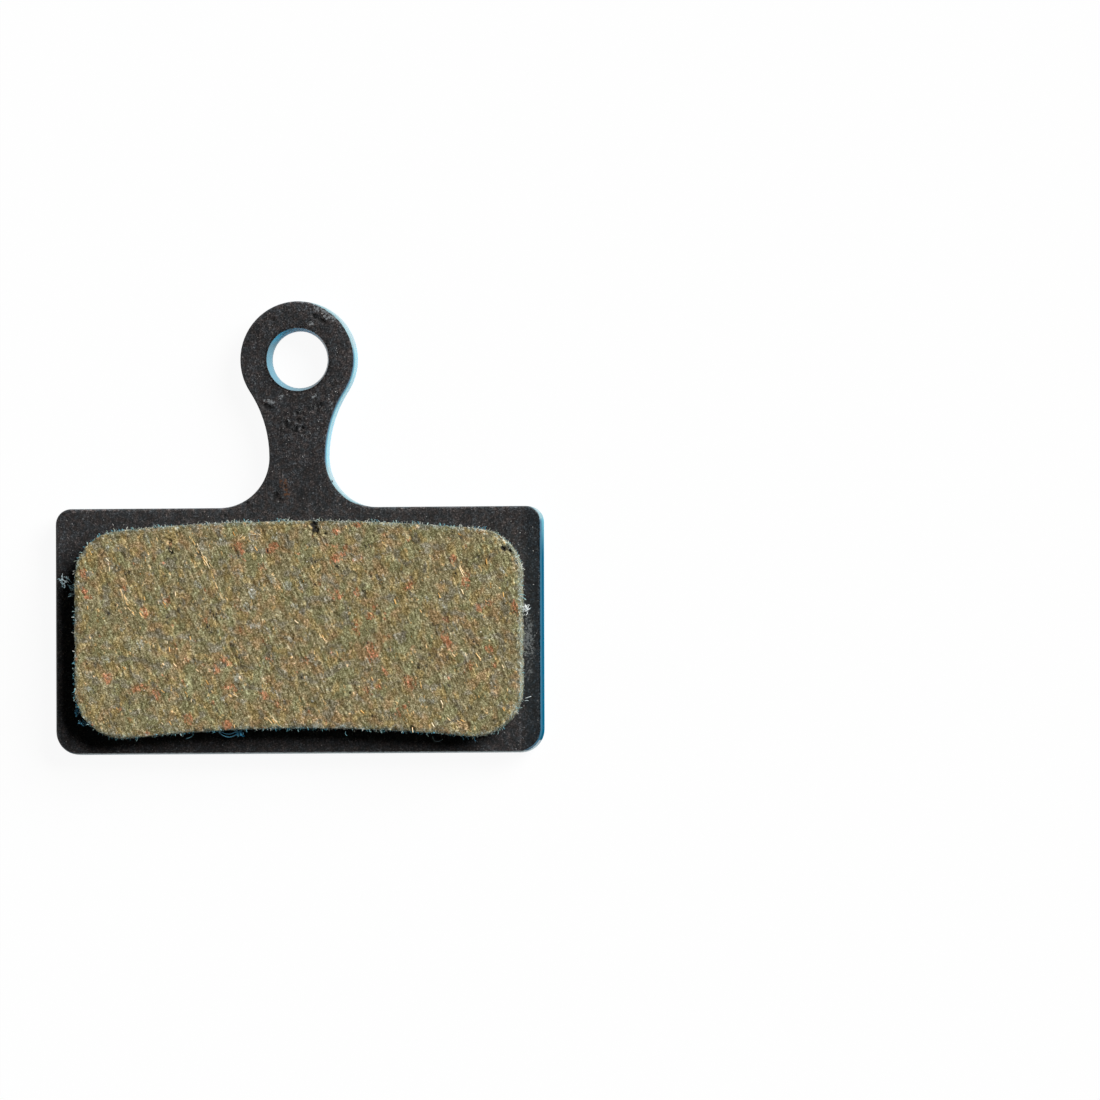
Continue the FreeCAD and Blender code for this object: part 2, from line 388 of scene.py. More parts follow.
@dataclass(frozen=True)
class PlateFinish:
    """Black satin steel on the front face, blue powder coat on everything else."""

    warm_black: Colour = screen(41, 37, 36)
    cool_black: Colour = screen(36, 38, 40)
    speck: Colour = screen(138, 136, 132)
    rust: Colour = screen(86, 57, 37)
    scuff: Colour = screen(134, 138, 140)
    powder: Colour = screen(128, 132, 132)
    pit: Colour = screen(6, 6, 6)
    blue: Colour = screen(1, 186, 231)
    # Painted reflection: a pale tone for the coat's walls.
    edge_reflection_blue: Colour = screen(106, 167, 180)
    break_blue: Colour = screen(84, 112, 132)
    # Painted shade: darker tones for the coat on the right guide edge.
    guide_shade_blue: Colour = screen(6, 76, 102)
    guide_break_shade_blue: Colour = screen(44, 92, 116)
    # Painted reflection: a near-white tone for the coat along the lower edge.
    low_edge_reflection_blue: Colour = screen(206, 220, 224)
    # Painted highlight: a pale tone for coat edges that face the key light.
    highlight_blue: Colour = screen(124, 155, 162)
    # Painted light and shade: a greyer tone for the bore's wall.
    bore_painted_blue: Colour = screen(95, 138, 154)
    # Painted shade: a darkening, bluish tint for the band of the black face beside the right edge.
    painted_shade_tint: Colour = (0.4, 0.53, 0.6, 1.0)
    chip: Colour = screen(30, 42, 50)
    coat_start: float = 0.17
    coat_blur: float = 0.05
    coat_rag: float = 0.09
    coat_tones: tuple[float, float] = (0.92, 1.06)
    satin: tuple[float, float] = (0.42, 0.62)
    gloss: tuple[float, float] = (0.2, 0.32)
    peel_depth: float = 0.012
    grain_depth: float = 0.006
    edge_reach: float = 1.5
    bore_reach: float = 2.6
    break_reach: float = 0.36
    guide_edge: float = 18.8
    guide_shade_fade: tuple[float, float] = (-10.9, -15.6)
    low_edge: float = -30.3
    painted_shade_band: tuple[float, float] = (17.3, 18.1)
    bore_top: tuple[float, float] = (1.0, 2.2)
    highlight_rim: tuple[float, float] = (0.85, 1.0)
    stain_rise: tuple[float, float] = (0.3, 1.1)
    stain_fade: float = 0.25
    gleams: tuple[tuple[str, float], ...] = (
        ("plate_black_face_and_blue_coat", 0.36), ("bore_coat", 0.045), ("guide_edge_coat", 0.0))

    def black_face(self, graph: ShaderGraph) -> Socket:
        """Colours the front face, with its brushed streaks, specks and marks.

        Args:
            graph: The material under construction.

        Returns:
            The colour of the front face.
        """
        place = graph.place()
        worn = graph.field(Stain.WORN.value)
        drift = graph.step(graph.noise(graph.place(turn=1.7), 2.4, 2.0), 0.35, 0.65)
        brushed = graph.noise(graph.place(stretch=(1.0, 0.05, 1.0)), 5.0, 3.0)
        fine = graph.noise(place, 8.0, 4.0, 0.8)
        broad = graph.noise(place, 1.2, 3.0)
        single = graph.cells(graph.warp(place, 9.0, 0.05), 10.0)[1]
        lumps = graph.noise(place, 2.6, 4.0, 0.75)
        # Painted highlight: the black is brightened near edges that face the key light.
        edge_highlight = graph.spread(graph.field("bare"), 0.5, 1.5)
        colour = graph.contrast(graph.mix(drift, self.warm_black, self.cool_black), (
            (brushed, 2.2), (fine, 13.0), (broad, 2.2), (single, 2.2),
            (lumps, graph.times(worn, 9.0)), (edge_highlight, 1.15)))
        # Painted shade: the black face is darkened, with a blue cast, in a band beside the right edge.
        beside = graph.step(graph.axis(place, 0), *self.painted_shade_band)
        colour = graph.mix(beside, colour, self.painted_shade_tint, "MULTIPLY")

        near, rare, other, size = graph.cells(graph.warp(place, 9.0, 0.06), 4.6)
        grain = graph.step(graph.math("DIVIDE", near, graph.spread(size, 0.25, 1.1)), 0.45, 0.1)
        for value, tone, share in ((rare, self.speck, 0.6), (other, self.pit, 0.85)):
            chosen = graph.step(graph.math("ADD", value, graph.times(worn, 0.4)), 0.74, 1.02)
            colour = graph.mix(graph.times(chosen, grain, share), colour, tone)

        # Each stain's colour, how much of it shows, and how strongly its edge is broken up.
        for stain, tone, share, broken in (
                (Stain.SCUFF, self.scuff, 0.75, 3.4),
                (Stain.RUST, self.rust, 0.85, 2.6),
                (Stain.PIT, self.pit, 0.9, 1.9),
                (Stain.POWDER, self.powder, 0.55, 2.0)):
            ragged = graph.spread(graph.frayed(graph.place(turn=share), 5.5, 8.0), -broken, broken)
            colour = graph.stained(colour, tone, stain, ragged, share, self.stain_rise, self.stain_fade)
        return colour

    def blue_coat(self, graph: ShaderGraph) -> Socket:
        """Colours the powder coat, with a few dark chips, and paints light on its edges: painted reflection
        and highlight where paler, painted shade where darker.

        Args:
            graph: The material under construction.

        Returns:
            The colour of the coat.
        """
        place = graph.place()
        right, up = graph.axis(place, 0), graph.axis(place, 1)
        coat = graph.field("coat")
        # Painted reflection: the coat's walls are painted paler than its back, and the lower edge near
        # white, for the bright surroundings that they mirror.
        rim_reflection = graph.step(coat, self.edge_reach + 0.8, self.edge_reach - 0.3)
        front = graph.step(coat, self.break_reach + 0.1, self.break_reach)
        low = graph.step(up, self.low_edge, self.low_edge - 0.05)
        pale = graph.mix(front, self.edge_reflection_blue, graph.mix(low, self.break_blue, self.low_edge_reflection_blue))

        # Painted shade: the coat on the right guide edge is coloured a darker blue, fading out towards the
        # eye.
        past_break = graph.step(coat, self.break_reach, self.break_reach + 0.3)
        guide = graph.mix(past_break, self.guide_break_shade_blue, self.guide_shade_blue)
        beside = graph.step(right, self.guide_edge - 0.7, self.guide_edge + 0.15)
        pale = graph.mix(graph.times(beside, graph.step(up, *self.guide_shade_fade)), pale, guide)
        # Painted highlight: coat edges that face the key light are painted paler.
        pale = graph.mix(graph.step(graph.field("bare"), *self.highlight_rim), pale, self.highlight_blue)
        tone = graph.mix(rim_reflection, self.blue, pale)

        # Painted light and shade: the bore's wall is painted a greyer blue than the coat, turning to the
        # full blue towards its top.
        level = {0: graph.place(stretch=(1.0, 1.0, 0.0))}
        from_axis = graph.add("ShaderNodeVectorMath", level, operation="LENGTH").outputs["Value"]
        in_bore = graph.step(from_axis, self.bore_reach + 0.15, self.bore_reach)
        wall = graph.mix(graph.step(up, *self.bore_top), self.bore_painted_blue, self.blue)
        uneven = graph.spread(graph.noise(place, 0.5, 3.0), *self.coat_tones)
        tone = graph.shade(graph.mix(in_bore, tone, wall), uneven)

        near, rare, _, _ = graph.cells(graph.warp(place, 5.0, 0.1), 1.5)
        chip = graph.times(graph.step(rare, 0.94, 0.95), graph.step(near, 0.18, 0.1))
        return graph.mix(chip, tone, self.chip)

    def build(self, name: str, gleam: float) -> bpy.types.Material:
        """Makes the material, which changes from black to blue at the field that counts from the front edge.

        Args:
            name: The material's name.
            gleam: How strongly it mirrors what is around it.

        Returns:
            The material.
        """
        graph = ShaderGraph(name)
        place = graph.place()
        ragged = graph.spread(graph.noise(place, 3.5, 4.0, 0.7), -self.coat_rag, self.coat_rag)
        past_edge = graph.math("ADD", graph.field("coat"), ragged)
        coat = graph.step(past_edge, self.coat_start - self.coat_blur, self.coat_start + self.coat_blur)
        colour = graph.mix(coat, self.black_face(graph), self.blue_coat(graph))
        satin = graph.spread(graph.noise(place, 4.0, 3.0), *self.satin)
        satin = graph.times(satin, graph.math("SUBTRACT", 1.0, coat))
        gloss = graph.times(graph.spread(graph.noise(place, 1.2, 2.0), *self.gloss), coat)
        peel = graph.bump(graph.noise(place, 1.6, 1.0), self.peel_depth)
        fine = graph.bump(graph.noise(place, 12.0, 2.0), self.grain_depth, peel)
        rough = graph.math("ADD", satin, gloss)
        return graph.close({"Base Color": colour, "Roughness": rough, "Normal": fine,
                            "Specular IOR Level": gleam})


@dataclass(frozen=True)
class CompoundFinish:
    """Ground resin-bound compound: khaki grains with copper, brass and mineral among them."""

    khaki: Colour = screen(125, 115, 81)
    brown: Colour = screen(137, 112, 75)
    olive: Colour = screen(121, 117, 80)
    violet: Colour = screen(116, 109, 87)
    ochre: Colour = screen(137, 119, 74)
    graphite: Colour = screen(94, 88, 71)
    gold: Colour = screen(186, 152, 96)
    copper_dull: Colour = screen(138, 103, 69)
    copper_bright: Colour = screen(164, 103, 68)
    pale: Colour = screen(146, 148, 134)
    dark: Colour = screen(22, 21, 20)
    overspray: Colour = screen(108, 123, 116)
    grain_channels: tuple[float, float, float] = (0.94, 1.0, 1.22)
    stain_span: float = 0.75
    stain_fade: float = 0.2
    lump_depth: float = 0.012
    grain_depth: float = 0.05
    roughness: float = 0.82
    gleam: float = 0.25

    def hue(self, graph: ShaderGraph) -> Socket:
        """Colours the face by drifting patches of earth tones, with gold and copper among them.

        Args:
            graph: The material under construction.

        Returns:
            The colour without its light and dark grain.
        """
        place = graph.place()
        colour: Any = self.khaki
        # Each tone's turn, blobs to the millimetre and detail, and the noise at which it starts and is full.
        for tone, turn, scale, detail, low, high in (
                (self.brown, 0.9, 1.1, 1.2, 0.45, 0.65),
                (self.olive, 2.1, 0.9, 1.2, 0.45, 0.65),
                (self.violet, 3.3, 1.3, 1.2, 0.52, 0.66),
                (self.ochre, 4.5, 1.2, 2.0, 0.53, 0.66),
                (self.graphite, GRIND_TURN, 1.7, 2.5, 0.62, 0.72)):
            patch = graph.noise(graph.place(turn, (0.7, 1.0, 1.0)), scale, detail)
            colour = graph.mix(graph.times(graph.step(patch, low, high), 0.9), colour, tone)
        rare = graph.cells(graph.warp(graph.place(GRIND_TURN, (0.6, 1.0, 1.0)), 6.0, 0.06), 7.0)[1]
        colour = graph.mix(graph.times(graph.step(rare, 0.965, 0.99), 0.6), colour, self.gold)
        uneven = graph.spread(graph.noise(place, 4.0, 4.0, 0.75), -1.3, 1.3)
        spray = graph.step(graph.math("ADD", graph.field("overspray"), uneven), 0.2, 1.1)
        colour = graph.mix(graph.times(spray, 0.8), colour, self.overspray)

        frayed = graph.frayed(graph.place(GRIND_TURN, (0.5, 1.0, 1.0)), 5.2, 8.0)
        shine = graph.step(graph.frayed(graph.place(GRIND_TURN), 4.0, 7.0), 0.35, 0.62)
        copper = graph.mix(shine, self.copper_dull, self.copper_bright)
        # The dark stain holds dark chips and grains, and also painted shade along the foot of the wall.
        # Each stain's colour, how much of it shows, how strongly its edge is broken up, and where it starts.
        for stain, tone, share, broken, low in (
                (Stain.COPPER, copper, 0.85, 1.75, 0.15),
                (Stain.PALE, self.pale, 0.6, 1.5, 0.15),
                (Stain.DARK, self.dark, 0.95, 1.4, 0.3)):
            ragged = graph.spread(frayed, -broken, broken)
            rise = (low, low + self.stain_span)
            colour = graph.stained(colour, tone, stain, ragged, share, rise, self.stain_fade)
        return colour

    def build(self) -> bpy.types.Material:
        """Makes the material.

        Returns:
            The material.
        """
        graph = ShaderGraph("ground_friction_compound")
        place = graph.place()
        ground = graph.warp(graph.place(GRIND_TURN, (0.72, 1.0, 1.0)), 6.0, 0.06)
        coarse = graph.cells(ground, 7.5)[1]
        single = graph.cells(graph.warp(place, 8.0, 0.05), 15.0)[1]
        fine = graph.noise(ground, 6.5, 4.0, 0.8)
        broad = graph.noise(place, 1.0, 4.0, 0.6)
        scratched = graph.noise(graph.place(GRIND_TURN, (0.07, 1.0, 1.0)), 5.5, 3.0)
        layers = ((coarse, 1.1), (single, 2.0), (fine, 5.0), (broad, 2.2), (scratched, 2.8))
        colour = graph.contrast(self.hue(graph), layers, self.grain_channels)
        slope = graph.bump(fine, self.grain_depth, graph.bump(coarse, self.lump_depth))
        return graph.close({"Base Color": colour, "Roughness": self.roughness, "Normal": slope,
                            "Specular IOR Level": self.gleam})


@dataclass(frozen=True)
class FibreFinish:
    """Loose fibres or grains, each with a colour of its own between tones given as a screen shows them."""

    name: str
    tones: tuple[tuple[int, int, int], ...]
    metallic: float = 0.0
    roughness: float = 0.7
    gleam: float = 0.3

    def build(self) -> bpy.types.Material:
        """Makes the material from the tint that each fibre carries.

        Returns:
            The material.
        """
        graph = ShaderGraph(self.name)
        last = len(self.tones) - 1
        stops = [(number / last, screen(*tone)) for number, tone in enumerate(self.tones)]
        colour = graph.ramp(graph.field("tint"), stops)
        uneven = graph.spread(graph.noise(graph.place(), 9.0, 2.0), 0.75, 1.25)
        return graph.close({"Base Color": graph.shade(colour, uneven), "Metallic": self.metallic,
                            "Roughness": self.roughness, "Specular IOR Level": self.gleam})


@dataclass(frozen=True)
class FloorFinish:
    """A white floor that keeps a faint shadow of what stands on it."""

    white: Colour = (0.86, 0.86, 0.86, 1.0)
    glow_share: float = 0.94

    def build(self) -> bpy.types.Material:
        """Makes the material: plain white paint, seen by camera and reflections as mostly even white.

        Returns:
            The material.
        """
        graph = ShaderGraph("white_floor")
        paint = graph.add("ShaderNodeBsdfDiffuse", {"Color": self.white}).outputs[0]
        glow = graph.add("ShaderNodeEmission", {"Color": WHITE, "Strength": 1.0}).outputs[0]
        ray = graph.add("ShaderNodeLightPath").outputs
        seen = graph.math("MAXIMUM", ray["Is Camera Ray"], ray["Is Glossy Ray"])
        seen = graph.math("MAXIMUM", seen, ray["Is Transmission Ray"])
        share = graph.times(seen, self.glow_share)
        surface = graph.add("ShaderNodeMixShader", {0: share, 1: paint, 2: glow}).outputs[0]
        graph.add("ShaderNodeOutputMaterial", {"Surface": surface})
        return graph.material


def resample(outline: np.ndarray, step: float) -> np.ndarray:
    """Spaces the points of a closed outline evenly.

    Args:
        outline: The outline's points, in order.
        step: About how far apart the new points are.

    Returns:
        The new points.
    """
    closed = np.vstack([outline, outline[:1]])
    along = np.concatenate([[0.0], np.cumsum(np.linalg.norm(np.diff(closed, axis=0), axis=1))])
    stations = np.linspace(0.0, along[-1], int(round(along[-1] / step)), endpoint=False)
    return np.stack([np.interp(stations, along, closed[:, axis]) for axis in range(2)], 1)


def outward(outline: np.ndarray) -> np.ndarray:
    """Gives the direction that leads out of an anticlockwise outline at each of its points.

    Args:
        outline: The outline's points, in order.

    Returns:
        A direction of length 1 for each point.
    """
    run = np.roll(outline, -1, 0) - np.roll(outline, 1, 0)
    run = run / np.linalg.norm(run, axis=1, keepdims=True)
    return np.stack([run[:, 1], -run[:, 0]], 1)


def inside(points: np.ndarray, outline: np.ndarray) -> np.ndarray:
    """Says which points lie inside an outline.

    Args:
        points: The points to test.
        outline: The closed outline.

    Returns:
        True or False for each point.
    """
    x, y = points[:, :1], points[:, 1:2]
    start, end = outline, np.roll(outline, -1, 0)
    spans = (start[:, 1] > y) != (end[:, 1] > y)
    rise = np.where(end[:, 1] == start[:, 1], 1.0, end[:, 1] - start[:, 1])
    crossing = start[:, 0] + (end[:, 0] - start[:, 0]) * (y - start[:, 1]) / rise
    return (spans & (x < crossing)).sum(1) % 2 == 1


def between(points: np.ndarray, outer: np.ndarray, *holes: np.ndarray) -> np.ndarray:
    """Says which points lie inside an outline but in none of its holes.

    Args:
        points: The points to test.
        outer: The closed outline.
        *holes: The holes' outlines.

    Returns:
        True or False for each point.
    """
    kept = inside(points, outer)
    for hole in holes:
        kept &= ~inside(points, hole)
    return kept


def closest(points: np.ndarray, *outlines: np.ndarray) -> tuple[np.ndarray, np.ndarray]:
    """Finds the nearest point of some outlines for each point.

    Args:
        points: The points to start from.
        *outlines: The outlines.

    Returns:
        How far it is, and its number, counted through the outlines in order.
    """
    targets = np.vstack(outlines)
    tree = KDTree(len(targets))
    for number, target in enumerate(targets):
        tree.insert((target[0], target[1], 0.0), number)
    tree.balance()
    found = [tree.find((point[0], point[1], 0.0)) for point in points]
    return np.array([each[2] for each in found]), np.array([each[1] for each in found], int)


def nearest(points: np.ndarray, *outlines: np.ndarray) -> np.ndarray:
    """Measures how far each point is from the nearest point of some outlines."""
    return closest(points, *outlines)[0]


def honeycomb(outline: np.ndarray, step: float, jitter: float, rng: np.random.Generator) -> np.ndarray:
    """Spreads points over an outline's box like the cells of a honeycomb.

    Args:
        outline: The outline whose box is covered.
        step: How far apart the points are.
        jitter: How far a point may be off its place, as a share of the step.
        rng: The source of the random shifts.

    Returns:
        The points.
    """
    low, high = outline.min(0), outline.max(0)
    rows = np.arange(low[1], high[1], step * HEX_ROW)
    columns = np.arange(low[0], high[0], step)
    x, y = np.meshgrid(columns, rows)
    x = x + (np.arange(len(rows)) % 2)[:, None] * step / 2
    points = np.stack([x.ravel(), y.ravel()], 1)
    return points + rng.uniform(-jitter * step, jitter * step, points.shape)


def wobble(points: np.ndarray, across: float, along: float, layer: float) -> np.ndarray:
    """Reads smooth noise from about -1 to 1 at places in the plane.

    Args:
        points: The places.
        across: Waves to the millimetre on the first axis.
        along: Waves to the millimetre on the second axis.
        layer: Which layer of the noise is read.

    Returns:
        The noise at each place.
    """
    return np.array([noise.noise(Vector((x * across, y * along, layer))) for x, y in points])


class CadSolid:
    """The outlines of the flat faces of a CAD node, read from a merged copy of its mesh."""

    def __init__(self, node: str) -> None:
        """Copies the node's mesh and merges its loose triangles.

        Args:
            node: The CAD node's name.
        """
        self.low, self.high = (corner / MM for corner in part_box(node))
        self.mesh = bmesh.new()
        self.mesh.from_mesh(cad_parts[node].data)
        bmesh.ops.remove_doubles(self.mesh, verts=self.mesh.verts, dist=SAME_POINT * MM)

    def outlines(self, level: float, facing: Facing) -> list[np.ndarray]:
        """Reads the outlines of one flat face.

        Args:
            level: The face's height.
            facing: Which way the face looks.

        Returns:
            The anticlockwise outlines, the longest first.
        """
        flat = {
            face for face in self.mesh.faces
            if face.normal.z * facing.value > FLAT_ENOUGH
            and abs(face.calc_center_median().z / MM - level) < SAME_POINT
        }
        steps: dict[bmesh.types.BMVert, bmesh.types.BMVert] = {}
        for face in flat:
            for corner in face.loops:
                if sum(other in flat for other in corner.edge.link_faces) == 1:
                    steps[corner.vert] = corner.link_loop_next.vert
        found = []
        while steps:
            vert = max(steps, key=lambda each: (round(each.co.y / MM, 3), round(each.co.x / MM, 3)))
            points = []
            while vert in steps:
                points.append(vert.co.xy / MM)
                vert = steps.pop(vert)
            outline = np.array(points)
            x, y = outline[:, 0], outline[:, 1]
            area = np.sum(x * np.roll(y, -1) - np.roll(x, -1) * y) / 2
            found.append((abs(area), outline if area > 0 else np.roll(outline[::-1], 1, 0)))
        return [outline for _, outline in sorted(found, key=lambda pair: -pair[0])]


class Shell:
    """A mesh under construction, in millimetres, with the value of each named field at every point."""

    def __init__(self, *fields: str) -> None:
        """Starts an empty mesh.

        Args:
            *fields: The names of its fields.
        """
        self.points = np.zeros((0, 3))
        self.fields = {name: np.zeros(0) for name in fields}
        self.faces: list[tuple[int, ...]] = []

    def add(self, flat: np.ndarray, height: Any, **values: Any) -> np.ndarray:
        """Adds points.

        Args:
            flat: The points' places in the plane.
            height: Their height or heights.
            **values: Fields that aren't 0 there.

        Returns:
            The points' numbers.
        """
        start = len(self.points)
        heights = np.broadcast_to(height, len(flat))
        self.points = np.vstack([self.points, np.column_stack([flat, heights])])
        for name, known in self.fields.items():
            new = np.broadcast_to(values.get(name, 0.0), len(flat))
            self.fields[name] = np.concatenate([known, new])
        return np.arange(start, len(self.points))

    def bridge(self, first: np.ndarray, second: np.ndarray) -> None:
        """Joins two rings of the same count with four-sided faces."""
        corners = zip(first, second, np.roll(second, -1), np.roll(first, -1))
        self.faces += [tuple(int(corner) for corner in face) for face in corners]

    def skin(self, rings: Sequence[np.ndarray]) -> None:
        """Joins each ring to the next."""
        for first, second in zip(rings, rings[1:]):
            self.bridge(first, second)

    def cap(self, ring: np.ndarray) -> None:
        """Closes a ring with one face."""
        self.faces.append(tuple(int(corner) for corner in ring))

    def fill(self, rings: Sequence[np.ndarray], inner: np.ndarray) -> None:
        """Covers the area between rings with triangles through inner points.

        Args:
            rings: The outer ring and then the holes.
            inner: Numbers of the points between them.
        """
        numbers = np.concatenate([*rings, inner]).astype(int)
        hole = np.full(len(numbers), -1)
        edges = []
        start = 0
        for which, ring in enumerate(rings):
            here = range(start, start + len(ring))
            edges += [(a, b) for a, b in zip(here, [*here[1:], start])]
            if which:
                hole[start:start + len(ring)] = which
            start += len(ring)
        flat = [Vector(point) for point in self.points[numbers, :2]]
        made = delaunay_2d_cdt(flat, edges, [list(range(len(rings[0])))], INSIDE_ONLY, WELD)
        origin = [given[0] for given in made[3]]
        for face in made[2]:
            corners = [origin[corner] for corner in face]
            holes = {hole[corner] for corner in corners}
            if len(holes) > 1 or -1 in holes:
                self.faces.append(tuple(int(numbers[corner]) for corner in corners))

    def to_object(self, name: str, sharp: float = 180.0, closed: bool = True) -> bpy.types.Object:
        """Makes the mesh object.

        Args:
            name: The object's name.
            sharp: Edges that turn by more than this many degrees stay sharp.
            closed: Whether the mesh is a closed body whose faces are turned outwards.

        Returns:
            The object, linked to the scene.
        """
        mesh = bpy.data.meshes.new(name)
        mesh.from_pydata((self.points * MM).tolist(), [], self.faces)
        for label, values in self.fields.items():
            mesh.attributes.new(label, "FLOAT", "POINT").data.foreach_set("value", values.astype(np.float32))
        if closed:
            solid = bmesh.new()
            solid.from_mesh(mesh)
            bmesh.ops.recalc_face_normals(solid, faces=solid.faces)
            solid.to_mesh(mesh)
            solid.free()
        mesh.shade_smooth()
        mesh.set_sharp_from_angle(angle=math.radians(sharp))
        return link(bpy.data.objects.new(name, mesh))


def link(piece: bpy.types.Object) -> bpy.types.Object:
    """Puts an object into the scene."""
    bpy.context.scene.collection.objects.link(piece)
    return piece


def seat(piece: bpy.types.Object, slot: Slot, *nodes: str) -> bpy.types.Object:
    """Parents a finished piece to the body that it rides on and hides the CAD nodes that it stands for.

    Args:
        piece: The finished piece.
        slot: Its slot in the record; not used.
        *nodes: CAD nodes that it stands for.

    Returns:
        The piece.
    """
    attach(piece, BODY)
    if nodes:
        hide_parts(*nodes)
    log.info("%s: %d faces", piece.name, len(piece.data.polygons))
    return piece


@dataclass(frozen=True)
class Mark:
    """A ragged patch on a face: an ellipse whose edge wanders."""

    stain: Stain
    at: tuple[float, float]
    half_length: float
    half_width: float
    turn: float = 0.0
    amount: float = 1.0
    soft: float = 0.6

    def strength(self, points: np.ndarray) -> np.ndarray:
        """Says how strongly the mark covers each point.

        Args:
            points: Places in the plane.

        Returns:
            Values from 0 to the mark's amount.
        """
        angle = math.radians(self.turn)
        away = points - np.array(self.at)
        along = away[:, 0] * math.cos(angle) + away[:, 1] * math.sin(angle)
        across = away[:, 1] * math.cos(angle) - away[:, 0] * math.sin(angle)
        reach = np.hypot(along / self.half_length, across / self.half_width)
        near = reach < MARK_LIMIT
        edge = MARK_EDGE - reach[near] - MARK_WANDER * wobble(points[near], 4.0, 4.0, 3.0)
        strength = np.zeros(len(points))
        strength[near] = self.amount * np.clip(edge / self.soft, 0.0, 1.0)
        return strength


def cover(points: np.ndarray, marks: Sequence[Mark]) -> dict[str, np.ndarray]:
    """Lays marks on a face. Where marks of one stain overlap, the stronger one counts.

    Args:
        points: Places in the plane.
        marks: The marks.

    Returns:
        For each stain's field the values at the points.
    """
    fields = {mark.stain.value: np.zeros(len(points)) for mark in marks}
    for mark in marks:
        name = mark.stain.value
        fields[name] = np.maximum(fields[name], mark.strength(points))
    return fields


def patches(stain: Stain, *rows: tuple[float, ...], soft: float = 0.6) -> tuple[Mark, ...]:
    """Makes marks of one stain.

    Args:
        stain: What they are made of.
        *rows: For each mark its place in X and Y, half its length, half its width, its turn in degrees
            and, where it isn't 1, its amount.
        soft: How softly their edges fade.

    Returns:
        The marks.
    """
    return tuple(Mark(stain, (x, y), *sizes, soft=soft) for x, y, *sizes in rows)


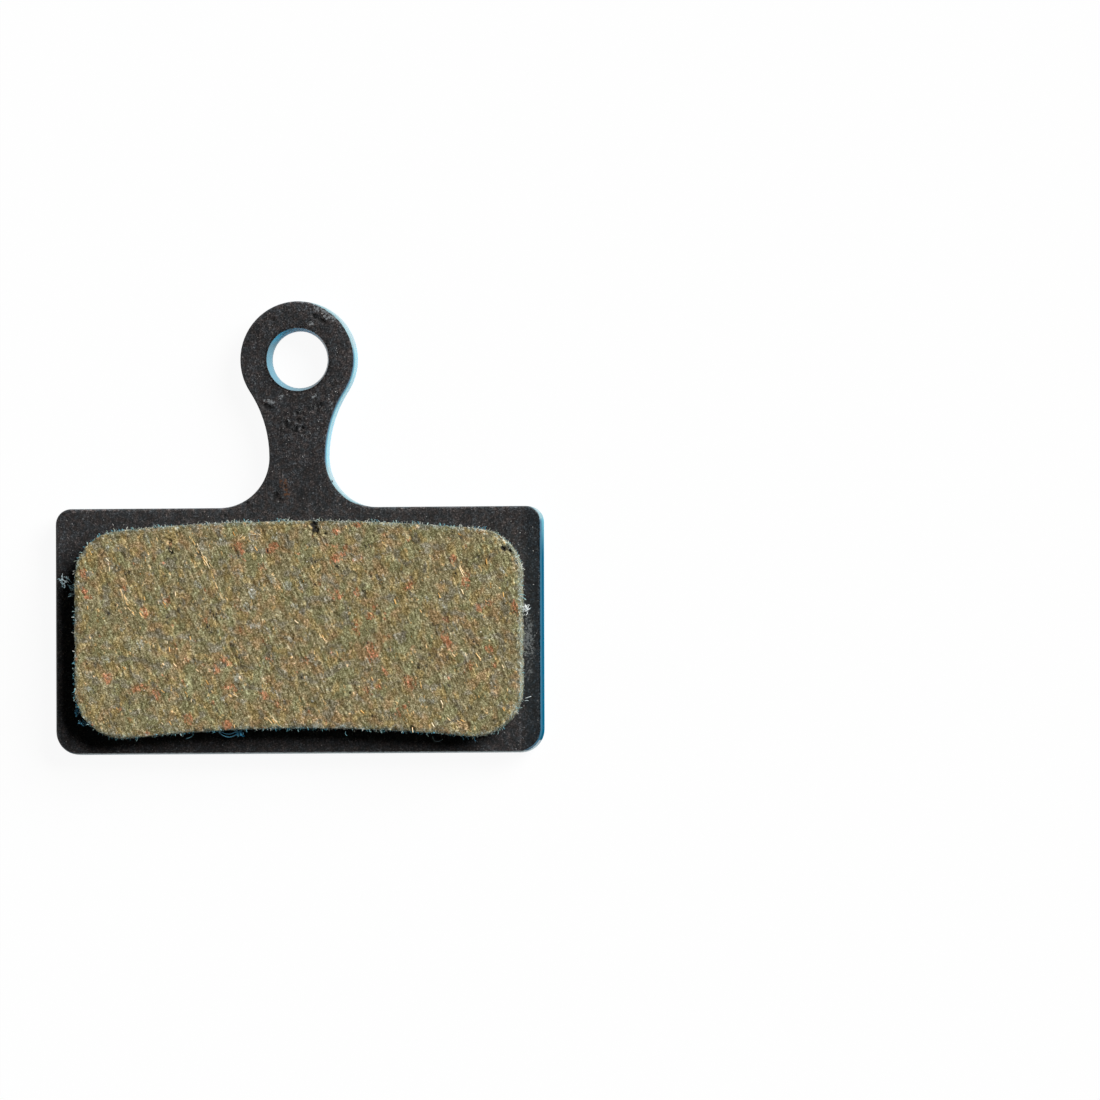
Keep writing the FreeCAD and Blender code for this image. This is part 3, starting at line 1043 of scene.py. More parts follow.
@dataclass
class BackingPlate:
    """The stamped steel plate, black on its front face and coated blue everywhere else."""

    node: str = "backing_plate"
    seed: int = 11
    fine_step: float = 0.1
    fine_jitter: float = 0.12
    fine_clear: float = 0.55
    coarse_step: float = 0.9
    coarse_jitter: float = 0.1
    coarse_clear: float = 0.3
    rim_step: float = 0.11
    back_rim_step: float = 0.3
    edge_break: float = 0.12
    edge_roll: float = 0.6
    hole_roll: float = 0.4
    bore_land: float = 0.6
    bore_breakout: float = 0.25
    wall_steps: int = 5
    roll_steps: int = 7
    sharp_edge: float = 34.0
    ripple_depth: float = 0.004
    pit_depth: float = 0.05
    rust_rise: float = 0.02
    lit_side: tuple[float, float] = (0.65, 0.76)
    lit_anyway: float = 0.15
    highlight_reach: float = 0.42
    eye_highlight_reach: float = 1.1
    eye_foot: float = -4.0
    shoulder: float = -11.4
    eye_creep: float = 0.32
    guide_creep: float = 0.15
    low_creep: float = 0.12
    bore_creep: float = 0.12
    creep_start: float = 0.15
    creep_span: float = 0.4
    creep_above: float = 1.15
    creep_least: float = 0.5
    covered_coat: float = -1.0
    back_coat: float = 2.0
    dust_step: float = 0.4
    dust_margin: float = 0.05
    dust_clear: float = 0.25
    marks: tuple[Mark, ...] = (
        *patches(Stain.WORN, (3.6, -2.6, 2.4, 0.8, 55, 0.8), soft=0.9),
        *patches(
            Stain.WORN, (0.5, -4.3, 3.1, 2.2, 65), (-0.2, -6.3, 1.6, 1.4, 90, 0.5),
            (18.15, -20.5, 5.0, 0.7, 90, 0.35), soft=1.0),
        *patches(
            Stain.RUST, (-1.1, -9.65, 0.5, 0.32, 100, 0.9), (-0.85, -10.4, 0.4, 0.25, 80, 0.8), soft=0.9),
        *patches(
            Stain.PIT, (-1.0, -9.85, 0.16, 0.1, 60), (-1.8, -10.55, 0.36, 0.24, 50),
            (-1.45, -10.85, 0.2, 0.12, 20), (-2.45, -3.62, 0.42, 0.22, -15, 1.5),
            (0.03, -4.15, 0.24, 0.16, 30, 1.4), (0.05, -4.7, 0.2, 0.15, 60, 1.3),
            (-1.0, -4.95, 0.3, 0.18, 80, 1.1), (0.3, -5.3, 0.26, 0.13, 60, 1.4),
            (1.3, 3.3, 0.32, 0.16, -40), (1.8, 3.0, 0.4, 0.16, -30), (-1.9, 3.1, 0.22, 0.14, 30, 0.8),
            (-0.3, -5.5, 0.4, 0.2, 70, 1.0), (1.6, -3.7, 0.4, 0.2, 60, 1.1),
            (2.6, -2.2, 0.5, 0.16, 60, 0.7), (-4.0, -11.05, 0.2, 0.14, 20),
            (-5.75, -12.05, 0.16, 0.12, 40)),
        *patches(
            Stain.SCUFF, (-2.25, -3.25, 0.4, 0.16, -8, 1.1), (-1.35, -3.0, 0.34, 0.12, 60, 0.7),
            (1.3, -2.9, 0.2, 0.12, 60, 1.0), (2.6, -3.45, 0.18, 0.12, 60, 0.7),
            (0.25, -4.1, 0.16, 0.1, 90, 1.0), (-0.7, -4.65, 0.2, 0.09, 100, 1.0),
            (0.45, -5.9, 0.16, 0.1, 30, 0.7), soft=0.9),
        *patches(Stain.SCUFF, (1.7, 3.9, 0.5, 0.25, -20, 0.8), (2.4, 3.45, 0.75, 0.4, -40), soft=1.0),
        *patches(Stain.SCUFF, (1.1, 2.75, 0.25, 0.16, 0, 0.9)),
        *patches(
            Stain.POWDER, (18.05, -21.7, 1.9, 0.42, 90, 0.9), (18.0, -24.2, 0.7, 0.3, 90, 0.5), soft=1.1),
    )
    solid: CadSolid = field(init=False)

    def __post_init__(self) -> None:
        """Reads the outlines that the plate is built on."""
        self.solid = CadSolid(self.node)
        self.top = self.solid.high.z
        self.loose = [mark for mark in self.marks if mark.stain in (Stain.POWDER, Stain.WORN)]
        self.outer, *self.plugs, self.bore = self.solid.outlines(self.top, Facing.FRONT)

    def rolled(self, radius: float) -> list[tuple[float, float]]:
        """Gives a quarter round from a wall to the back, as steps aside and heights."""
        turns = np.linspace(0, math.pi / 2, self.roll_steps)
        return [(radius * (1 - math.cos(turn)), radius * (1 - math.sin(turn))) for turn in turns]

    def rim_profile(self) -> list[tuple[float, float]]:
        """Gives the outer edge's section.

        Returns:
            Steps outwards from the front face's outline, with heights.
        """
        heights = np.linspace(self.top - self.edge_break, self.edge_roll, self.wall_steps)
        wall = [(self.edge_break, height) for height in heights]
        roll = [(self.edge_break - aside, height) for aside, height in self.rolled(self.edge_roll)[1:]]
        return [(0.0, self.top), (self.edge_break / 2, self.top - self.edge_break / 2), *wall, *roll]

    def hole_profile(self, breakout: float, land_top: float) -> list[tuple[float, float]]:
        """Gives a hole's section.

        Args:
            breakout: How much wider the hole is at the front than on its land.
            land_top: The height at which the land ends.

        Returns:
            Steps outwards from its outline on the front face, with heights.
        """
        roll = [(aside - breakout, height) for aside, height in self.rolled(self.hole_roll)]
        middle = (land_top + self.top) / 2
        return [(0.0, self.top), (-breakout / 2, middle), (-breakout, land_top), *roll]

    def wrapped(self, outline: np.ndarray) -> np.ndarray:
        """Says how far the coat has crept over the front edge: on its right side wholly, below in part.

        Args:
            outline: The front face's outline.

        Returns:
            The coat's field at each point of the outline.
        """
        out = outward(outline)
        right = np.where(outline[:, 1] > self.shoulder, self.eye_creep, self.guide_creep)
        beside = np.clip((out[:, 0] - self.creep_start) / self.creep_span, 0.0, 1.0)
        not_above = np.clip(self.creep_above - out[:, 1], self.creep_least, 1.0)
        below = self.low_creep * np.clip(-out[:, 1] * 2 - 1, 0.0, 1.0)
        return right * (beside * not_above) + below

    def loft(self, shell: Shell, outline: np.ndarray, section: Sequence[tuple[float, float]],
             passed: Any = 0.0, bare: Any = 0.0) -> tuple[np.ndarray, np.ndarray]:
        """Draws a section round an outline.

        Args:
            shell: The mesh under construction.
            outline: The outline on the front face.
            section: Steps outwards and heights, from the front to the back.
            passed: The coat's field at the front, or its value at each point of the outline.
            bare: The painted highlight at the front, or its value at each point of the outline.

        Returns:
            The first and the last ring.
        """
        out = outward(outline)
        rings = []
        before = section[0]
        for step, height in section:
            passed = passed + math.hypot(step - before[0], height - before[1])
            before = (step, height)
            rings.append(shell.add(outline + out * step, height, coat=passed, bare=bare))
        shell.skin(rings)
        return rings[0], rings[-1]

    def relief(self, points: np.ndarray, fields: dict[str, np.ndarray]) -> np.ndarray:
        """Gives the front face's height: nearly flat, sunk in pits and raised a little on rust.

        Args:
            points: Places in the plane.
            fields: The marks' fields at those places.

        Returns:
            The heights.
        """
        ripple = wobble(points, 1.3, 0.6, 1.0)
        crust = wobble(points, 9.0, 9.0, 5.0)
        raised = fields[Stain.RUST.value] * (self.rust_rise + self.rust_rise * crust)
        sunk = self.pit_depth * fields[Stain.PIT.value]
        return self.top - self.ripple_depth * (1 + ripple) - sunk + raised

    def build(self, footprint: np.ndarray, finish: PlateFinish) -> bpy.types.Object:
        """Builds and dresses the plate.

        Args:
            footprint: The lining's outline, under which the front face is left coarse.
            finish: The plate's finish.

        Returns:
            The plate.
        """
        rng = np.random.default_rng(self.seed)
        shell = Shell("coat", "rust", "scuff", "pit", "powder", "worn", "bare")
        outer = resample(self.outer, self.rim_step)
        bore = resample(self.bore, self.rim_step)
        plugs = [resample(outline, 4 * self.rim_step) for outline in self.plugs]
        land_top = self.hole_roll + self.bore_land
        # Painted highlight: lit says how squarely each point of the outline faces the key light, and the
        # field bare carries it onto the black face and the coat's edge.
        lit = np.clip(self.lit_anyway + outward(outer) @ np.array(self.lit_side), 0.0, 1.0)
        ends = [self.loft(shell, outer, self.rim_profile(), self.wrapped(outer), lit),
                self.loft(shell, bore, self.hole_profile(self.bore_breakout, land_top), self.bore_creep)]
        ends += [self.loft(shell, outline, self.hole_profile(0.0, land_top)) for outline in plugs]

        fine = honeycomb(self.outer, self.fine_step, self.fine_jitter, rng)
        fine = fine[between(fine, self.outer, self.bore, footprint)]
        gap = nearest(fine, outer, bore)
        clear = gap > self.fine_clear * self.fine_step
        fine, gap = fine[clear], gap[clear]
        fields = cover(fine, self.marks)
        # Painted highlight on the black face near edges that face the key light, kept in the field bare.
        from_rim, number = closest(fine, outer)
        reach = np.where(fine[:, 1] > self.eye_foot, self.eye_highlight_reach, self.highlight_reach)
        fields["bare"] = lit[number] * np.clip(1 - from_rim / reach, 0.0, 1.0) ** 2
        shown = shell.add(fine, self.relief(fine, fields), coat=-gap, **fields)

        coarse = honeycomb(self.outer, self.coarse_step, self.coarse_jitter, rng)
        clear = self.coarse_clear * self.coarse_step
        hidden = coarse[between(coarse, footprint, *self.plugs)]
        hidden = hidden[nearest(hidden, *plugs) > clear]
        covered = shell.add(hidden, self.top - self.ripple_depth, coat=self.covered_coat)
        shell.fill([first for first, _ in ends], np.concatenate([shown, covered]))

        edges = self.solid.outlines(0.0, Facing.BACK)
        back = coarse[between(coarse, *edges)]
        back = back[nearest(back, *(resample(edge, self.back_rim_step) for edge in edges)) > clear]
        shell.fill([last for _, last in ends], shell.add(back, 0.0, coat=self.back_coat))
        plate = shell.to_object("backing_plate_coated", self.sharp_edge)
        self.dress(plate, finish)
        return seat(plate, Slot.PLATE, self.node)

    def dress(self, plate: bpy.types.Object, finish: PlateFinish) -> None:
        """Gives the plate its materials: the bore and the right guide edge have less gloss than the rest.

        Args:
            plate: The plate.
            finish: The plate's finish.
        """
        for name, gleam in finish.gleams:
            plate.data.materials.append(finish.build(name, gleam))
        middle = np.array([face.center for face in plate.data.polygons]) / MM
        edge = middle[:, 2] < self.top - SAME_POINT
        in_bore = edge & (np.hypot(middle[:, 0], middle[:, 1]) < finish.bore_reach)
        guide = edge & (middle[:, 0] > finish.guide_edge)
        numbers = np.select([in_bore, guide], [1, 2], 0).astype(np.int32)
        plate.data.polygons.foreach_set("material_index", numbers)

    def open_face(self, footprint: np.ndarray) -> bpy.types.Object:
        """Makes the part of the front face that the lining leaves open, for dust to lie on.

        Args:
            footprint: The lining's outline.

        Returns:
            A helper object that isn't kept.
        """
        shell = Shell("powder", "worn", "open")
        outlines = (self.outer, self.bore, footprint)
        rings = []
        for outline, side in zip(outlines, (-1, 1, 1)):
            ring = resample(outline, self.dust_step)
            flat = ring + outward(ring) * (side * self.dust_margin)
            rings.append(shell.add(flat, self.top, open=1.0, **cover(flat, self.loose)))
        inner = honeycomb(self.outer, self.dust_step, 0.0, np.random.default_rng(1))
        inner = inner[between(inner, *outlines)]
        edges = [resample(outline, self.dust_step / 2) for outline in outlines]
        inner = inner[nearest(inner, *edges) > self.dust_clear]
        shell.fill(rings, shell.add(inner, self.top, open=1.0, **cover(inner, self.loose)))
        return shell.to_object("open_face_host", closed=False)


@dataclass
class FrictionLining:
    """The moulded compound block, ground on its face, with the two plugs that key it into the plate."""

    node: str = "friction_lining"
    seed: int = 23
    fine_step: float = 0.096
    face_jitter: float = 0.18
    face_clear: float = 0.5
    wall_step: float = 0.12
    wall_rows: int = 12
    wall_spray: float = 0.7
    rim_spray: float = 0.75
    spray_reach: float = 0.6
    sharp_edge: float = 60.0
    crumble_width: float = 0.22
    crumble_base: float = 0.6
    crumble_depth: float = 0.09
    groove_depth: float = 0.012
    grain_depth: float = 0.012
    pit_depth: float = 0.07
    pit_start: float = 0.42
    pit_span: float = 0.3
    chip_depth: float = 0.16
    rag: float = 0.07
    painted_foot_shade: float = 0.7
    painted_foot_shade_height: float = 0.8
    plug_jitter: float = 0.2
    plug_clear: float = 0.6
    plug_spray: float = 0.9
    plug_rough: float = 0.05
    fray_high: float = 0.09
    fray_low: float = 0.23
    fuzz_high: float = 0.3
    fuzz_lift: float = 0.05
    crumb_high: float = 0.03
    crumb_low: float = 0.3
    fuzz_step: float = 0.3
    tint_left: float = -6.0
    tint_left_span: float = 9.0
    tint_low: float = -26.5
    tint_low_span: float = 2.0
    bedding: float = 0.038
    wire_rim_step: float = 0.8
    wire_margin: float = 0.25
    wire_step: float = 0.5
    wire_clear: float = 0.7
    plug_fuzz_step: float = 0.4
    plug_fuzz_margin: float = 0.3
    plug_fuzz_depth: float = 0.04
    fleck_count: int = 330
    fleck_shares: tuple[float, float, float] = (0.42, 0.3, 0.28)
    fleck_least: float = 0.14
    fleck_more: float = 0.4
    fleck_swing: float = 35.0
    fleck_amounts: tuple[float, float] = (0.3, 0.8)
    fleck_widths: tuple[float, float] = (0.45, 0.8)
    fleck_soft: float = 0.9
    dark_share: float = 0.75
    flecks: tuple[Mark, ...] = (
        *patches(
            Stain.COPPER, (-4.3, -14.6, 0.5, 0.34, -60), (-1.64, -14.6, 0.6, 0.34, 40),
            (-16.5, -16.5, 0.45, 0.26, -70), (-16.3, -18.0, 0.5, 0.28, -50),
            (-11.75, -19.5, 0.45, 0.28, -70), (-14.65, -24.55, 0.45, 0.32, -70),
            (-12.2, -25.4, 0.7, 0.3, 20, 0.8), (-10.8, -25.8, 0.45, 0.25, -50),
            (-5.2, -28.25, 0.5, 0.36, 20), (-2.4, -25.9, 0.4, 0.26, -40), (-5.5, -23.2, 0.4, 0.22, -50),
            (3.4, -15.4, 0.7, 0.3, 30, 0.9), (3.3, -13.4, 0.4, 0.28, 50, 0.9),
            (5.0, -12.85, 0.5, 0.2, 0, 0.9), (6.1, -22.6, 0.65, 0.42, -55),
            (5.9, -19.9, 0.4, 0.28, -20, 0.8), (11.95, -21.9, 0.75, 0.34, -65),
            (14.4, -19.3, 0.35, 0.22, -60), (15.2, -22.5, 0.4, 0.24, -40, 0.9),
            (8.9, -25.0, 0.5, 0.3, -70, 0.8), (9.0, -17.6, 0.45, 0.25, 30, 0.8),
            (17.2, -19.3, 0.55, 0.26, -80)),
        *patches(
            Stain.PALE, (-3.2, -18.15, 0.45, 0.32, -60), (-0.5, -17.55, 0.4, 0.3, -60)),
    )
    chips: tuple[Mark, ...] = (
        *patches(
            Stain.DARK, (1.6, -13.1, 0.6, 0.34, 75, 0.75), (1.46, -12.78, 0.24, 0.16, 20, 1.3),
            (1.6, -13.05, 0.2, 0.12, -50, 1.3), (1.8, -13.35, 0.28, 0.12, 75, 1.1),
            (2.45, -13.55, 0.2, 0.13, 0, 0.6), (16.31, -14.75, 0.22, 0.17, -40, 1.3),
            (16.84, -14.95, 0.16, 0.13, -60, 1.3), (16.55, -14.75, 0.42, 0.26, -40, 0.7),
            (14.3, -15.4, 0.15, 0.12, 0, 0.8), (-9.85, -14.0, 0.26, 0.2, 10, 0.7),
            (-9.6, -14.9, 0.16, 0.1, -60), (9.1, -28.6, 0.22, 0.16, -40)),
    )
    solid: CadSolid = field(init=False)

    def __post_init__(self) -> None:
        """Reads the outlines that the lining is built on."""
        self.solid = CadSolid(self.node)
        self.top = self.solid.high.z
        self.outline = self.solid.outlines(self.top, Facing.FRONT)[0]
        self.plug_end = self.solid.low.z
        self.plugs = self.solid.outlines(self.plug_end, Facing.BACK)
        heights = [vert.co.z / MM for vert in self.solid.mesh.verts]
        self.foot = max(height for height in heights if height < self.top - SAME_POINT)

    def random_flecks(self) -> list[Mark]:
        """Scatters copper, mineral and dark grains over the face.

        Returns:
            The grains, most of them drawn out along the grinding.
        """
        rng = np.random.default_rng(self.seed)
        low, high = self.outline.min(0), self.outline.max(0)
        kinds = rng.choice([Stain.COPPER, Stain.PALE, Stain.DARK], self.fleck_count, p=self.fleck_shares)
        marks: list[Mark] = []
        for kind in kinds:
            x, y = rng.uniform(low, high)
            half = self.fleck_least + self.fleck_more * rng.uniform() ** 2
            turn = math.degrees(-GRIND_TURN) + rng.normal(0, self.fleck_swing)
            amount = rng.uniform(*self.fleck_amounts) * (self.dark_share if kind is Stain.DARK else 1.0)
            width = half * rng.uniform(*self.fleck_widths)
            marks += patches(kind, (x, y, half, width, turn, amount), soft=self.fleck_soft)
        return marks

    def relief(self, points: np.ndarray, gap: np.ndarray) -> np.ndarray:
        """Gives the ground face's height, with grooves, pits, chips and crumbled edges.

        Args:
            points: Places in the plane.
            gap: How far each is from the block's edge.

        Returns:
            The heights.
        """
        along = points @ np.array([math.cos(GRIND_TURN), -math.sin(GRIND_TURN)])
        across = points @ np.array([math.sin(GRIND_TURN), math.cos(GRIND_TURN)])
        turned = np.stack([along, across], 1)
        groove = wobble(turned, 0.35, 3.2, 0.0)
        grain = wobble(points, 3.7, 3.7, 9.0)
        hollow = np.maximum(0.0, wobble(turned, 0.9, 1.7, 4.0) - self.pit_start)
        crumb = np.maximum(0.0, 1 - gap / self.crumble_width)
        crumb = np.maximum(0.0, crumb * (self.crumble_base + wobble(points, 2.5, 2.5, 6.0)))
        drop = self.groove_depth * (1 + groove) + self.grain_depth * (1 + grain)
        drop += self.pit_depth * hollow / self.pit_span + self.crumble_depth * crumb
        return self.top - drop - self.chip_depth * cover(points, self.chips)[Stain.DARK.value]

    def ragged(self, outline: np.ndarray, height: float) -> np.ndarray:
        """Moves a ring of the wall in and out, as moulded and frayed compound is.

        Args:
            outline: The ring's points.
            height: The ring's height.

        Returns:
            The moved points.
        """
        wave = wobble(outline, 1.9, 1.9, height * 0.7) + wobble(outline, 5.0, 5.0, height * 3)
        return outline + outward(outline) * (wave * self.rag)[:, None]

    def build(self, finish: CompoundFinish) -> bpy.types.Object:
        """Builds and dresses the lining.

        Args:
            finish: The compound's finish.

        Returns:
            The lining.
        """
        rng = np.random.default_rng(self.seed)
        shell = Shell("copper", "pale", "dark", "overspray")
        ring = resample(self.outline, self.wall_step)
        rings = []
        for row, height in enumerate(np.linspace(self.top, self.foot, self.wall_rows)):
            flat = self.ragged(ring, height)
            level = height if row else self.relief(flat, np.zeros(len(flat)))
            # Painted shade: the wall darkens towards its foot, where it meets the plate, through the field
            # dark that also holds the chips.
            painted_foot_shade = self.painted_foot_shade * max(0.0, 1 - (height - self.foot) / self.painted_foot_shade_height)
            dark = np.maximum(painted_foot_shade, cover(flat, self.chips)[Stain.DARK.value])
            rings.append(shell.add(flat, level, overspray=self.wall_spray, dark=dark))
        shell.skin(rings)

        face = honeycomb(self.outline, self.fine_step, self.face_jitter, rng)
        rim = shell.points[rings[0], :2]
        face = face[inside(face, rim)]
        gap = nearest(face, rim)
        clear = gap > self.face_clear * self.fine_step
        face, gap = face[clear], gap[clear]
        fields = cover(face, [*self.flecks, *self.chips, *self.random_flecks()])
        spray = np.clip(self.rim_spray - gap / self.spray_reach, 0.0, self.rim_spray)
        shell.fill([rings[0]], shell.add(face, self.relief(face, gap), overspray=spray, **fields))

        collars = [self.plug(shell, resample(plug, self.wall_step * 2), rng) for plug in self.plugs]
        shell.fill([rings[-1], *collars], np.zeros(0, int))
        lining = shell.to_object("friction_lining_ground", self.sharp_edge)
        lining.data.materials.append(finish.build())
        return seat(lining, Slot.COMPOUND, self.node)

    def plug(self, shell: Shell, outline: np.ndarray, rng: np.random.Generator) -> np.ndarray:
        """Adds one plug, from the lining's foot to its rough end.

        Args:
            shell: The mesh under construction.
            outline: The plug's outline.
            rng: The source of the random shifts.

        Returns:
            The ring where the plug leaves the foot.
        """
        collar = shell.add(outline, self.foot)
        end = shell.add(outline, self.plug_end, overspray=self.plug_spray)
        shell.bridge(collar, end)
        inner = honeycomb(outline, self.wall_step, self.plug_jitter, rng)
        inner = inner[inside(inner, outline)]
        inner = inner[nearest(inner, outline) > self.plug_clear * self.wall_step]
        level = self.plug_end + self.plug_rough * (1 + wobble(inner, 3.0, 3.0, 2.0))
        shell.fill([end], shell.add(inner, level, overspray=self.plug_spray))
        return collar

    def band(self, upper: float, lower: float, fringe: Fringe) -> bpy.types.Object:
        """Makes a band of the wall for fibres to stand on, in clumps and not where the edge is chipped.

        Args:
            upper: The band's upper height.
            lower: The band's lower height.
            fringe: Which fibres stand on it: they take turns along the edge.

        Returns:
            A helper object that isn't kept.
        """
        shell = Shell("shag")
        ring = resample(self.outline, self.fuzz_step)
        left = np.clip((self.tint_left - ring[:, 0]) / self.tint_left_span, 0.0, 1.0)
        low = np.clip((self.tint_low - ring[:, 1]) / self.tint_low_span, 0.0, 1.0)
        drift = wobble(ring, 0.3, 0.3, 5.0)
        tinted = np.clip(0.28 + 1.2 * drift + 0.5 * left + 0.4 * low, 0.05, 1.0)
        share = tinted if fringe is Fringe.COATED else 1.05 - tinted
        whole = np.clip(1 - cover(ring, self.chips)[Stain.DARK.value], 0.0, 1.0)
        shag = np.clip(0.6 + 0.9 * wobble(ring, 0.9, 0.9, 8.0), 0.15, 1.0) * share * whole
        shell.skin([shell.add(ring, height, shag=shag) for height in (upper, lower)])
        return shell.to_object("wall_band_host", closed=False)

    def top_host(self) -> bpy.types.Object:
        """Makes a coarse copy of the face for wires to lie on, with a field that gathers them in clumps.

        Returns:
            A helper object that isn't kept.
        """
        shell = Shell("shag")
        level = self.top - self.bedding
        ring = resample(self.outline, self.wire_rim_step)
        rim = shell.add(ring - outward(ring) * self.wire_margin, level, shag=0.3)
        inner = honeycomb(self.outline, self.wire_step, 0.0, np.random.default_rng(1))
        inner = inner[inside(inner, self.outline)]
        inner = inner[nearest(inner, ring) > self.wire_clear]
        shag = np.clip((wobble(inner, 0.75, 0.75, 2.0) - 0.05) * 3.0, 0.12, 1.0)
        shell.fill([rim], shell.add(inner, level, shag=shag))
        return shell.to_object("ground_face_host", closed=False)

    def plug_host(self) -> bpy.types.Object:
        """Makes the plugs' ends, facing backwards, for fibres to stand on.

        Returns:
            A helper object that isn't kept.
        """
        shell = Shell("shag")
        for plug in self.plugs:
            ring = resample(plug, self.plug_fuzz_step)[::-1]
            flat = ring + outward(ring) * self.plug_fuzz_margin
            shell.cap(shell.add(flat, self.plug_end + self.plug_fuzz_depth, shag=1.0))
        return shell.to_object("plug_end_host", closed=False)


class ScatterGraph(Graph):
    """A Geometry Nodes tree that scatters one small thing over a host mesh."""

    def __init__(self, name: str, *sizes: str) -> None:
        """Starts a tree with a geometry, a density, a seed and a material as inputs.

        Args:
            name: The tree's name.
            *sizes: The names of its further inputs, which are numbers.
        """
        super().__init__(bpy.data.node_groups.new(name, "GeometryNodeTree"))
        face = self.tree.interface
        face.new_socket("Geometry", in_out="OUTPUT", socket_type="NodeSocketGeometry")
        kinds = {"Geometry": "Geometry", "Density": "Float", "Seed": "Int", **dict.fromkeys(sizes, "Float"),
                 "Material": "Material"}
        for label, kind in kinds.items():
            face.new_socket(label, in_out="INPUT", socket_type=f"NodeSocket{kind}")
        self.given = self.add("NodeGroupInput").outputs

    def random(self, low: Any, high: Any, salt: int) -> Socket:
        """Gives a random number for each point.

        Args:
            low: The least that it can be.
            high: The most that it can be.
            salt: What tells it from the tree's other random numbers.

        Returns:
            The number.
        """
        inputs = {2: low, 3: high, "Seed": self.math("ADD", self.given["Seed"], float(salt))}
        return self.add("FunctionNodeRandomValue", inputs, data_type="FLOAT").outputs[1]

    def scatter(self, density_field: str) -> bpy.types.Node:
        """Spreads points over the host's faces.

        Args:
            density_field: The host's field that says how densely they lie.

        Returns:
            The node that spreads them.
        """
        share = self.add("GeometryNodeInputNamedAttribute", {"Name": density_field}, data_type="FLOAT")
        density = self.times(self.given["Density"], share.outputs[0])
        inputs = {"Mesh": self.given["Geometry"], "Density": density, "Seed": self.given["Seed"]}
        return self.add("GeometryNodeDistributePointsOnFaces", inputs)

    def close(self, instances: Socket) -> bpy.types.NodeTree:
        """Tints each instance, makes all of them one mesh and gives it its material.

        Args:
            instances: The scattered instances.

        Returns:
            The finished tree.
        """
        tinted = self.add("GeometryNodeStoreNamedAttribute", {"Geometry": instances, "Name": "tint"},
                          data_type="FLOAT", domain="INSTANCE")
        self.tree.links.new(self.random(0.0, 1.0, 9), tinted.inputs["Value"])
        real = self.add("GeometryNodeRealizeInstances", {0: tinted.outputs[0]}).outputs[0]
        dressed = self.add("GeometryNodeSetMaterial", {"Geometry": real, "Material": self.given["Material"]})
        self.add("NodeGroupOutput", {0: dressed.outputs[0]})
        return self.tree


@dataclass(frozen=True)
class Fibres:
    """Short bent fibres scattered over a host: frayed edges, fuzz on a wall or wires in a face."""

    name: str
    stance: Stance
    density: float
    length: float
    thickness: float
    bend: float
    spread: float
    seed: int
    heading: float = 0.0
    shortest: float = 0.6
    longest: float = 2.0
    sides: int = 4
    segments: int = 4
    bends: tuple[float, ...] = (-1.0, 0.35, 1.0)
    lying: tuple[float, float] = (86.0, 93.0)
    rarity: float = 2.5

    def tree(self) -> bpy.types.NodeTree:
        """Builds the node tree.

        Returns:
            The tree, whose lengths are in metres and angles in radians.
        """
        graph = ScatterGraph(f"{self.name}_tree", "Length", "Thickness", "Bend", "Spread", "Heading",
                             "Shortest", "Longest")
        given = graph.given
        points = graph.scatter("shag").outputs
        radius = graph.math("DIVIDE", given["Thickness"], 2.0)
        section = graph.add("GeometryNodeCurvePrimitiveCircle", {"Resolution": self.sides, "Radius": radius})
        half = graph.math("DIVIDE", given["Length"], 2.0)
        kinds = graph.add("GeometryNodeGeometryToInstance")
        for share in self.bends:
            sag = graph.times(given["Bend"], share, given["Length"])
            path = graph.add("GeometryNodeCurveQuadraticBezier", {
                "Resolution": self.segments, "Start": (0.0, 0.0, 0.0), "Middle": graph.spot(Y=sag, Z=half),
                "End": graph.spot(X=sag, Z=given["Length"])})
            tube = graph.add("GeometryNodeCurveToMesh", {
                0: path.outputs[0], 1: section.outputs[0], "Fill Caps": True})
            graph.tree.links.new(tube.outputs[0], kinds.inputs[0])
        swing = graph.random(graph.times(given["Spread"], -1.0), given["Spread"], 1)
        if self.stance is Stance.STANDING:
            turn = graph.spot(X=swing, Z=graph.random(0.0, FULL_TURN, 2))
            local = graph.add("FunctionNodeEulerToRotation", {0: turn}).outputs[0]
            turns = {0: points["Rotation"], 1: local}
            aim = graph.add("FunctionNodeRotateRotation", turns, rotation_space="LOCAL")
        else:
            lift = graph.random(*(math.radians(angle) for angle in self.lying), 2)
            turn = graph.spot(X=lift, Z=graph.math("ADD", given["Heading"], swing))
            aim = graph.add("FunctionNodeEulerToRotation", {0: turn})
        skew = graph.math("POWER", graph.random(0.0, 1.0, 3), self.rarity)
        reach = graph.math("SUBTRACT", given["Longest"], given["Shortest"])
        size = graph.math("MULTIPLY_ADD", reach, skew, given["Shortest"])
        instances = graph.add("GeometryNodeInstanceOnPoints", {
            "Points": points["Points"], "Instance": kinds.outputs[0], "Pick Instance": True,
            "Rotation": aim.outputs[0], "Scale": size})
        return graph.close(instances.outputs[0])

    def values(self) -> dict[str, float]:
        """Gives the tree's inputs.

        Returns:
            For each input's name its value, in metres and radians.
        """
        return {"Density": self.density / MM ** 2, "Seed": self.seed, "Length": self.length * MM,
                "Thickness": self.thickness * MM, "Bend": self.bend, "Spread": math.radians(self.spread),
                "Heading": math.radians(self.heading), "Shortest": self.shortest, "Longest": self.longest}


